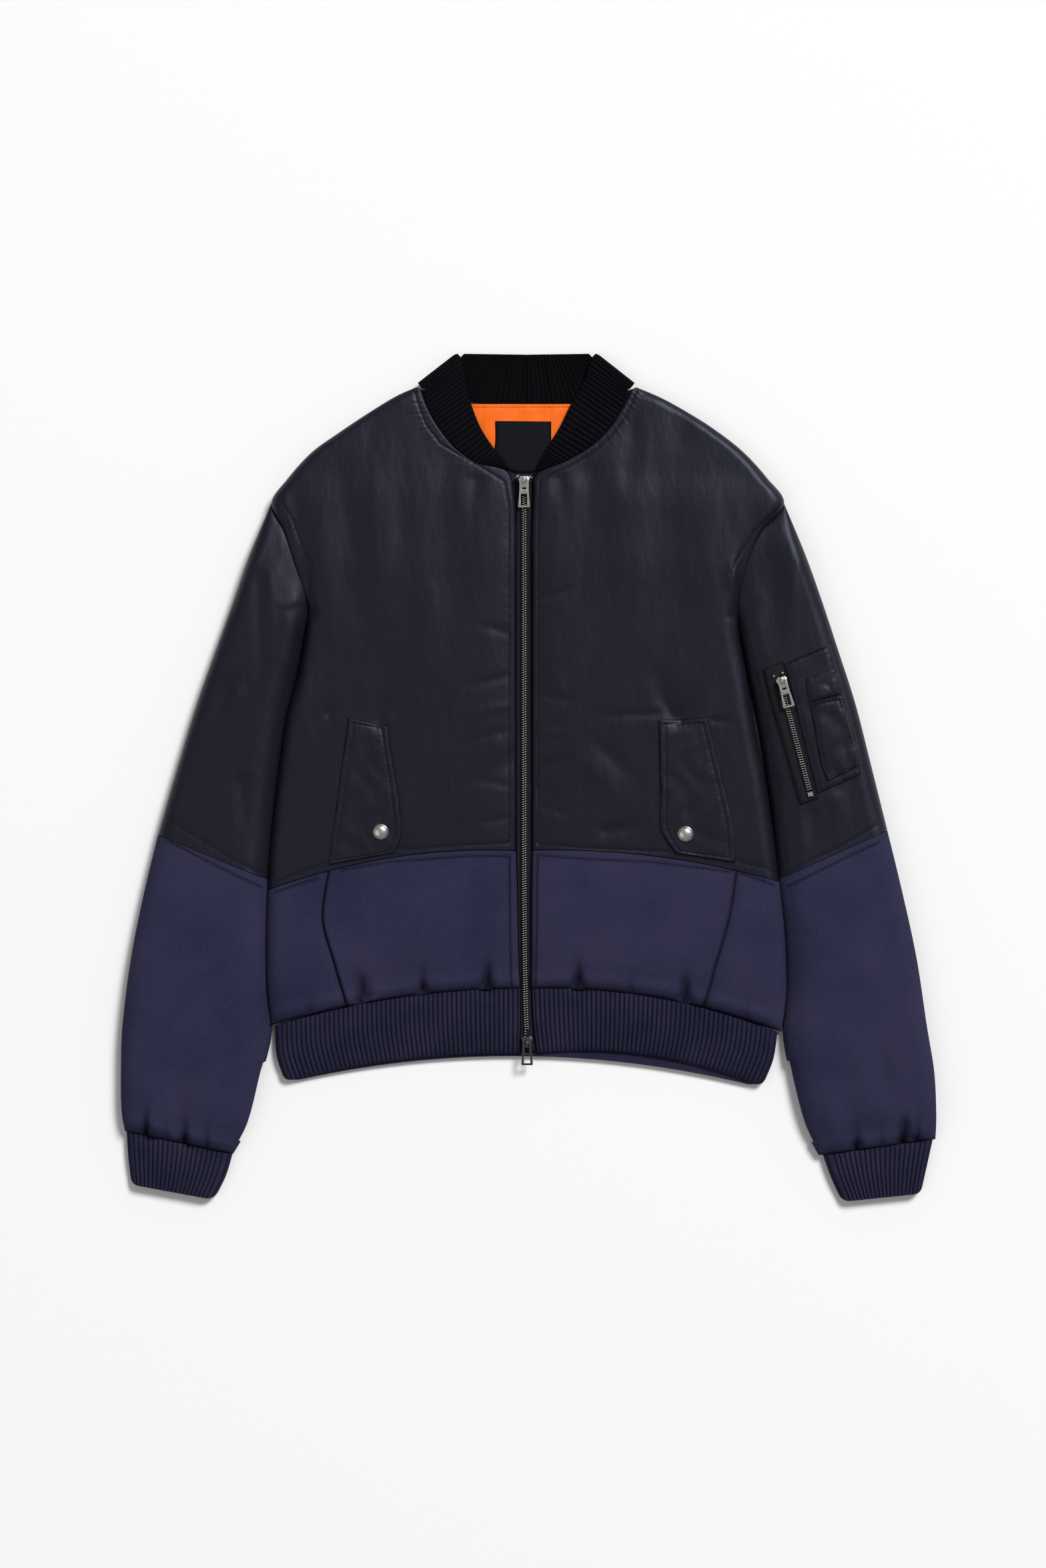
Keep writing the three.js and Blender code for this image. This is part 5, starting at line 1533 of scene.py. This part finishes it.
def collar_columns(side):
    """The collar's lines from seam to free edge: up the front, over the turn and round the back."""
    columns = []
    rows = COLLAR_FRONT[side]
    upwards = np.array([0, 0, 1.0])
    for u in np.linspace(0, 1, COLLAR_RIBS["front"] * RIB_CELLS + 1):
        row = {name: value[0] for name, value in along(rows, u * 6).items()}
        line = along(FRONT[side], mix(NECK_CORNER, NECK_POINT, row["seam"]))
        seam = np.array([line["inX"][0], line["inY"][0], row["seamZ"]])
        edge = np.array([row["edgeX"], row["edgeY"], row["edgeZ"]])
        seam[:2] = mix(seam[:2], edge[:2], 0.7 / np.linalg.norm(edge[:2] - seam[:2]))
        columns.append((seam, edge, upwards, u * COLLAR_RIBS["front"], "outer"))
    turn = COLLAR_TURN[side]
    seam, edge = np.array(turn["seam"], float), np.array(turn["edge"], float)
    across = (edge - seam) * (1, 1, 0)
    across /= np.linalg.norm(across)
    out = SIGN[side] * np.array([across[1], -across[0], 0])
    last_seam, last_edge = columns[-1][:2]
    for u in np.linspace(0, 1, 17)[1:-1]:
        ends = (mix(last_seam, seam, u), mix(last_edge, edge, u))
        columns.append((*ends, upwards, u * COLLAR_RIBS["corner"], "outer"))
    for u in np.linspace(0, 1, 49):
        angle = np.pi * (0.5 - u)
        reach = TURN_REACH * math.cos(angle / 2 - np.pi / 8) ** 4 * across
        ends = []
        for (x, y, z), further in ((seam, -reach), (edge, 0 * reach)):
            radius = (z - COLLAR_WALL / 2) / 2
            centre = np.array([x, y, z - radius + radius * math.sin(angle)]) + further
            ends.append(centre + out * radius * math.cos(angle))
        normal = np.array([0, 0, math.sin(angle)]) + out * math.cos(angle)
        columns.append((*ends, normal, u * COLLAR_RIBS["turn"], "outer" if u < 0.8 else ""))
    places = np.linspace(0, NECK_POINT, 3)[-1:]
    right, left = (along(FRONT[name], places) for name in SIDES)
    for u in np.linspace(0, 1, 153)[1:]:
        middle_x = (COLLAR_TURN["right"]["seam"][0] + COLLAR_TURN["left"]["seam"][0]) / 2
        seam_x = mix(seam[0], middle_x, u)
        s = (seam_x - right["outX"][0]) / (left["outX"][0] - right["outX"][0])
        neck_y = mix(right["outY"][0], left["outY"][0], s) + 4 * BACK_NECK_BOW * s * (1 - s)
        edge_x = mix(edge[0], (COLLAR_TURN["right"]["edge"][0] + COLLAR_TURN["left"]["edge"][0]) / 2, u)
        edge_y = mix(edge[1], COLLAR_TOP_Y - COLLAR_SAG * u, min(1, 20 * u))
        lift = 0.7 + 1.6 * (1 - float(smooth(5 * u)))
        columns.append((
            np.array([seam_x, neck_y + lift, COLLAR_WALL / 2]), np.array([edge_x, edge_y, COLLAR_WALL / 2]),
            -upwards, u * COLLAR_RIBS["half_back"], "inner",
        ))
    return columns


def on_neck(x, _):
    """The height of the back's face inside the neck."""
    return NECK_LAYER + 0 * x


class JACKET_OT_collar(JacketOperator, bpy.types.Operator):
    """Builds the black rib collar, the lining inside the neck and the bare label."""

    bl_idname = "jacket.collar"
    bl_label = "Collar"

    def execute(self, context):
        line = collar_columns("right") + collar_columns("left")[::-1][1:]
        v = np.linspace(0, 1, 17)
        outer = np.zeros((len(v), len(line), 3))
        inner = np.zeros_like(outer)
        shade = np.zeros(len(line))
        puff = 1.0 * np.sin(np.pi * v)
        round_edge = quarter_round((1 - v) / 0.08) * 0.5 + 0.5
        for j, (seam, edge, normal, phase, face) in enumerate(line):
            middle = mix(seam, edge, v[:, None])
            wave = COLLAR_RELIEF * (rib_wave(phase) - 0.5) if face else 0
            shade[j] = max(rib_shade(phase) if face else 0, 0.5 if face == "inner" else 0)
            lift = COLLAR_WALL / 2 * round_edge
            outer[:, j] = middle + normal * (lift + (wave if face == "outer" else 0))[:, None]
            inner[:, j] = middle - normal * (lift + (wave if face == "inner" else 0))[:, None]
            if face == "outer":
                outer[:, j, 2] += puff
        outer[..., 2] = np.maximum(outer[..., 2], 0)
        cloth(wall("collar_rib_knit", outer, inner, shade=shade), outer, "collar_rib",
              MATERIALS["black_rib"])

        def neck_floor(x, y):
            return mix(BACK_LAYER, NECK_LAYER, smooth((y - 262) / 20))

        outer, inner, shade = patch_grid(LINING, neck_floor, SEAM, 1, inset=LINING_INSET, crumple=0.5)
        cloth(wall("lining_back_neck_cloth", outer, inner, shade=shade * 0.5), outer, "lining_back_neck",
              MATERIALS["orange_lining"])
        outer, inner, shade = patch_grid(LABEL, on_neck, LABEL_LIFT, LABEL_WALL, LABEL_INSET, crumple=0.08)
        cloth(wall("neck_label_cloth", outer, inner, shade=shade), outer, "neck_label",
              MATERIALS["label_cloth"])
        return {"FINISHED"}


SLEEVE_PATCHES = {
    # lift over the sleeve, inset of the stitches, crumple, material slot
    "sleeve_pocket": (SLEEVE_POCKET, PATCH_LIFT, 3.2, 0.3, "satin"),
    "sleeve_zip_welt": (ZIP_WELT, PATCH_LIFT, 1.6, 0.1, "zip_tape"),
    "pen_flap": (PEN_FLAP, 2 * PATCH_LIFT + PATCH_WALL, 2.2, 0.35, "satin"),
    "pen_pocket": (PEN_POCKET, 2 * PATCH_LIFT + PATCH_WALL, 3.2, 0.6, "satin"),
}
FLAP_INSET = 5.5
STITCHES = {
    # length, width, height, thread, material slot
    "satin": (2.1, 0.4, 0.35, "satin_thread", "satin"),
    "navy": (2.1, 0.45, 0.4, "navy_thread", "navy_fleece"),
    "lining": (2.1, 0.5, 0.4, "orange_lining", "orange_lining"),
    "label": (1.8, 0.45, 0.4, "satin_thread", "label_cloth"),
}


class JACKET_OT_pockets(JacketOperator, bpy.types.Operator):
    """Builds the pocket flaps and the pocket on the left sleeve."""

    bl_idname = "jacket.pockets"
    bl_label = "Flaps and pockets"

    def execute(self, context):
        satin = MATERIALS["satin"]
        for side in SIDES:
            outer, inner, shade = patch_grid(
                FLAP[side], ON_FRONT[side], PATCH_LIFT, PATCH_WALL, FLAP_INSET, 0.35
            )
            name = "pocket_flap_" + side
            cloth(wall(name + "_cloth", outer, inner, shade=shade), outer, name, satin)
        for name, (rows, lift, inset, crumple, slot) in SLEEVE_PATCHES.items():
            raised = PEN_SNAP if name == "pen_flap" else None
            outer, inner, shade = patch_grid(
                rows, ON_SLEEVE["left"], lift, PATCH_WALL, inset, crumple, raised
            )
            cloth(wall(name + "_cloth", outer, inner, shade=shade), outer, name, MATERIALS[slot])
        return {"FINISHED"}


# Metal: shapes are lists of vertices and faces in millimetres
def extruded(outline, low, high, holes=()):
    """A flat shape with holes, from one height to another."""
    loops = [[Vector((x, y, 0)) for x, y in loop] for loop in (outline, *holes)]
    flat = [point for loop in loops for point in loop]
    count = len(flat)
    vertices = [(p.x, p.y, low) for p in flat] + [(p.x, p.y, high) for p in flat]
    caps = tessellate_polygon(loops)
    faces = [tuple(count + i for i in cap) for cap in caps] + [tuple(reversed(cap)) for cap in caps]
    start = 0
    for loop in loops:
        size = len(loop)
        for i in range(size):
            a, b = start + i, start + (i + 1) % size
            faces.append((a, b, count + b, count + a))
        start += size
    return vertices, faces


def turned(profile, count=36):
    """A shape turned round the z axis, from a profile of radius and height that ends on the axis."""
    rings = profile[1:-1]
    vertices = [(0, 0, profile[0][1])]
    for radius, height in rings:
        for i in range(count):
            angle = 2 * math.pi * i / count
            vertices.append((radius * math.cos(angle), radius * math.sin(angle), height))
    vertices.append((0, 0, profile[-1][1]))
    faces = []
    for i in range(count):
        k = (i + 1) % count
        faces.append((0, 1 + i, 1 + k))
        for j in range(len(rings) - 1):
            a, b = 1 + j * count, 1 + (j + 1) * count
            faces.append((a + i, b + i, b + k, a + k))
        last = 1 + (len(rings) - 1) * count
        faces.append((last + i, len(vertices) - 1, last + k))
    return vertices, faces


def metal(name, shapes, place, bevel, body, slot, node=None):
    """One object of metal shapes at a place, with rounded edges."""
    work = bmesh.new()
    for vertices, faces in shapes:
        points = [work.verts.new(vertex) for vertex in vertices]
        for face in faces:
            work.faces.new([points[i] for i in face])
    bmesh.ops.recalc_face_normals(work, faces=work.faces)
    mesh = bpy.data.meshes.new(name)
    work.to_mesh(mesh)
    work.free()
    obj = bpy.data.objects.new(name, mesh)
    bpy.context.scene.collection.objects.link(obj)
    if bevel:
        rounded = obj.modifiers.new("Rounded edges", "BEVEL")
        rounded.width = bevel
        rounded.segments = 3
        rounded.limit_method = "ANGLE"
        rounded.angle_limit = math.radians(25)
        finished = bpy.data.meshes.new_from_object(obj.evaluated_get(bpy.context.evaluated_depsgraph_get()))
        obj.modifiers.clear()
        obj.data = finished
        bpy.data.meshes.remove(mesh)
    obj.data.transform(Matrix.Scale(MM, 4) @ place)
    obj.data.shade_smooth()
    obj.data.set_sharp_from_angle(angle=math.radians(40))
    obj.data.materials.clear()
    obj.data.materials.append(MATERIALS[slot])
    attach(obj, body)
    if node:
        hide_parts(node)
    return obj


def zip_at(y):
    """The zip's line at heights down the jacket."""
    upwards = {name: values[::-1] for name, values in ZIP_LINE.items()}
    return {name: np.interp(y, upwards["y"], values) for name, values in upwards.items()}


def mirrored(points):
    """An outline from its right half, given from bottom to top."""
    return points + [(-x, y) for x, y in reversed(points)]


def build_slider(name, x, y, z, turn, hinge, tilt, pull, slot):
    """A slider's two plates, its bail and its pull."""
    place = Matrix.Translation((x, y, z + SEAM)) @ Matrix.Rotation(math.radians(turn), 4, "Z")
    half = SLIDER["length"] / 2
    shoulder, waist, height = SLIDER["shoulder"] / 2, SLIDER["waist"] / 2, SLIDER["height"]
    plate = mirrored([
        (waist - 0.6, -half), (waist, -half + 0.6), (waist, -half + 4), (shoulder, half - 3.4),
        (shoulder, half - 2.2), (shoulder - 1.8, half), (1.4, half), (0.9, half - 1.6),
    ])
    small = [(px * 0.92, py * 0.96) for px, py in plate]
    post = mirrored([(waist - 1.6, -half + 1.2), (waist - 1.6, half - 3), (1.3, half - 1.2)])
    shapes = [extruded(plate, 0, 1.3), extruded(small, height - 1.3, height), extruded(post, 1, height - 1)]
    metal(name + "_slider_metal", shapes, place, 0.35, "jacket", slot, name + "_slider")

    reach, foot = BAIL["length"] / 2, height + BAIL["gap"]
    high, near, far, bar = foot + BAIL["height"], hinge - reach, hinge + reach, BAIL["bar"]
    arch = [
        (near, foot), (near + bar, foot), (near + bar + 0.3, high - bar - 0.5),
        (near + bar + 0.9, high - bar), (far - bar - 0.9, high - bar), (far - bar - 0.3, high - bar - 0.5),
        (far - bar, foot), (far, foot), (far - 0.2, high - 1.1), (far - 0.8, high - 0.3),
        (far - 1.6, high), (near + 1.6, high), (near + 0.8, high - 0.3), (near + 0.2, high - 1.1),
    ]
    upright = Matrix(((0, 0, 1, 0), (1, 0, 0, 0), (0, 1, 0, 0), (0, 0, 0, 1)))
    wide = BAIL["width"] / 2
    metal(name + "_bail_metal", [extruded(arch, -wide, wide)], place @ upright, 0.3, "jacket", slot,
          name + "_bail")

    top, bottom, pin, end = PULL["top"] / 2, PULL["bottom"] / 2, PULL["bar"] / 2, PULL["bar"] / 2 - pull
    tab = mirrored([(bottom - 1, end), (bottom - 0.3, end + 0.3), (bottom, end + 1), (top, end * 0.4),
                    (top, pin - 0.9), (top - 0.9, pin)])

    def window(width, low, up):
        return [(-width / 2, low), (width / 2, low), (width / 2, up), (-width / 2, up)]

    holes = [window(PULL["window"], -pin - PULL["window_length"], -pin),
             window(PULL["low_window"], end + 1.8, end + 1.8 + PULL["low_share"] * pull)]
    swing = Matrix.Translation((0, hinge, foot + 1.2)) @ Matrix.Rotation(math.radians(tilt), 4, "X")
    wall_half = PULL["wall"] / 2
    metal(name + "_pull_metal", [extruded(tab, -wall_half, wall_half, holes)], place @ swing, 0.35,
          name + "_pull", slot, name + "_pull")


def block(length, width, height, at=(0, 0, 0), turn=0.0, inset=0.3):
    """A small block with a narrower top, such as a zip's tooth or stop."""
    vertices = []
    for z, edge in ((0, 0), (height * 0.7, 0), (height, inset)):
        for sx, sy in ((-1, -1), (1, -1), (1, 1), (-1, 1)):
            x, y = sx * (length / 2 - edge), sy * (width / 2 - edge)
            vertices.append((
                at[0] + x * math.cos(turn) - y * math.sin(turn),
                at[1] + x * math.sin(turn) + y * math.cos(turn),
                at[2] + z,
            ))
    faces = [(3, 2, 1, 0), (8, 9, 10, 11)]
    for base in (0, 4):
        for i in range(4):
            k = (i + 1) % 4
            faces.append((base + i, base + k, base + 4 + k, base + 4 + i))
    return vertices, faces


def item_object(name, shape):
    """A small object in metres to repeat."""
    mesh = bpy.data.meshes.new(name)
    mesh.from_pydata([tuple(c * MM for c in vertex) for vertex in shape[0]], [], shape[1])
    obj = bpy.data.objects.new(name, mesh)
    bpy.context.scene.collection.objects.link(obj)
    return obj


class JACKET_OT_metal(JacketOperator, bpy.types.Operator):
    """Builds the zips' tapes, teeth, sliders, bails and pulls, and the snaps."""

    bl_idname = "jacket.metal"
    bl_label = "Zips and snaps"

    def execute(self, context):
        y = np.linspace(ZIP_LINE["y"][0], ZIP_LINE["y"][-1], cells(541, 0.003))
        line = {name: value[:, None] for name, value in zip_at(y).items()}
        u = np.linspace(0, 1, 9)
        for side, from_x, to_x in (
            ("right", line["rightX"], line["x"] - SEAM / 2), ("left", line["x"] + SEAM / 2, line["leftX"])
        ):
            x = mix(from_x, to_x, u)
            z = line["z"] + 0 * x
            outer = np.stack([x, line["y"] + 0 * x, z], axis=2)
            inner = outer - (0, 0, TAPE_WALL)
            name = "zip_tape_" + side
            cloth(wall(name + "_cloth", outer, inner), outer, name, MATERIALS["zip_tape"])

        pitch = sizes().tooth_pitch / MM
        paths = []
        for k, shift in enumerate((-TOOTH_SHIFT, TOOTH_SHIFT)):
            y = np.arange(CHAIN_TOP_Y - 8 - k * pitch / 2, CHAIN_BOTTOM_Y, -6.0)
            line = zip_at(y)
            paths.append(np.stack([line["x"] + shift, y, line["z"] + SEAM], axis=1))
        tooth = item_object("tooth", block(1.15, 2.5, 2.3))
        repeat_along("zip_teeth", paths, tooth, pitch, "tooth_metal", "zip_chain")

        paths = []
        for k, shift in enumerate((-TOOTH_SHIFT, TOOTH_SHIFT)):
            places = np.linspace(0.12 + 0.011 * k, 1.94, 14)
            row = along(SLEEVE_CHAIN, places)
            x = (row["x1"] + row["x2"]) / 2 + shift
            y = (row["y1"] + row["y2"]) / 2 + shift * 0.26
            z = ON_SLEEVE["left"](x, y) + PATCH_LIFT + PATCH_WALL + SEAM
            paths.append(np.stack([x, y, z], axis=1))
        tooth = item_object("tooth", block(1.15, 2.5, 2.2))
        repeat_along("sleeve_teeth", paths, tooth, pitch, "tooth_metal", "sleeve_zip_chain")

        for row in SLIDERS:
            build_slider(*row)
        for name, stops in STOPS.items():
            shapes = []
            for length, width, x, y, turn in stops:
                if name == "zip_stops":
                    z = float(zip_at(y)["z"]) + 0.1
                else:
                    z = float(ON_SLEEVE["left"](x, y)) + PATCH_LIFT + PATCH_WALL + 0.2
                shapes.append(block(length, width, 2.2, (x, y, z), math.radians(turn)))
            metal(name, shapes, Matrix(), 0, "jacket", "silver_metal")

        for side, (x, y) in SNAPS.items():
            z = float(ON_FRONT[side](x, y)) + 2 * PATCH_LIFT + PATCH_WALL - 0.5
            metal("snap_" + side, [turned(SNAP_PROFILE)], Matrix.Translation((x, y, z)), 0, "jacket",
                  "silver_metal", "snap_cap_" + side)
        return {"FINISHED"}


class JACKET_OT_stitching(JacketOperator, bpy.types.Operator):
    """Sews the topstitching along the seams and round the patches."""

    bl_idname = "jacket.stitching"
    bl_label = "Stitching"

    def execute(self, context):
        pitch = sizes().stitch / MM
        paths = {"satin": [], "navy": []}
        for piece, points in STITCH_LINES:
            corners = np.array(points, float)
            steps = np.concatenate([[0], np.linalg.norm(np.diff(corners, axis=0), axis=1).cumsum()])
            arc = np.arange(0, steps[-1], 3.0)
            x, y = np.interp(arc, steps, corners[:, 0]), np.interp(arc, steps, corners[:, 1])
            z = SURFACES[piece](x, y) + STITCH_HEIGHT
            thread = "navy" if "lower" in piece else "satin"
            paths[thread].append(np.stack([x, y, z], axis=1))
        for side in SIDES:
            centre = "end" if side == "right" else "start"
            paths["satin"] += patch_path(
                FLAP[side], ON_FRONT[side], PATCH_LIFT + PATCH_WALL - 0.2, FLAP_INSET, (centre, "top")
            )
        for rows, lift, inset, _, _ in SLEEVE_PATCHES.values():
            paths["satin"] += patch_path(rows, ON_SLEEVE["left"], lift + PATCH_WALL - 0.2, inset)
        paths["lining"] = patch_path(LINING, on_neck, 1.2, LINING_INSET, ("bottom",))
        paths["label"] = patch_path(
            LABEL, on_neck, LABEL_LIFT + LABEL_WALL - 0.1, LABEL_INSET, ("start", "end", "bottom")
        )
        for name, (length, width, height, thread, slot) in STITCHES.items():
            stitch = lozenge("stitch", length, width, height, 3)
            repeat_along(name + "_stitches", paths[name], stitch, pitch, thread)
        return {"FINISHED"}


OPERATORS = (
    JACKET_OT_stage,
    JACKET_OT_body,
    JACKET_OT_ribs,
    JACKET_OT_sleeves,
    JACKET_OT_collar,
    JACKET_OT_pockets,
    JACKET_OT_metal,
    JACKET_OT_stitching,
)


class JACKET_PT_panel(bpy.types.Panel):
    """Lists the jacket's colours, sizes and steps."""

    bl_label = "Bomber jacket"
    bl_space_type = "VIEW_3D"
    bl_region_type = "UI"
    bl_category = "Jacket"

    def draw(self, context):
        for group in (context.scene.jacket_sizes, context.scene.jacket_colours):
            for name in group.__annotations__:
                self.layout.prop(group, name)
        for operator in OPERATORS:
            self.layout.operator(operator.bl_idname)


CLASSES = (JacketColours, JacketSizes, *OPERATORS, JACKET_PT_panel)


def register():
    for item in CLASSES:
        bpy.utils.register_class(item)
    bpy.types.Scene.jacket_colours = bpy.props.PointerProperty(type=JacketColours)
    bpy.types.Scene.jacket_sizes = bpy.props.PointerProperty(type=JacketSizes)


def unregister():
    del bpy.types.Scene.jacket_sizes
    del bpy.types.Scene.jacket_colours
    for item in reversed(CLASSES):
        bpy.utils.unregister_class(item)


def main():
    register()
    bpy.ops.jacket.stage()
    bpy.ops.jacket.body()
    bpy.ops.jacket.ribs()
    bpy.ops.jacket.sleeves()
    bpy.ops.jacket.collar()
    bpy.ops.jacket.pockets()
    bpy.ops.jacket.metal()
    bpy.ops.jacket.stitching()


if __name__ == "__main__":
    main()
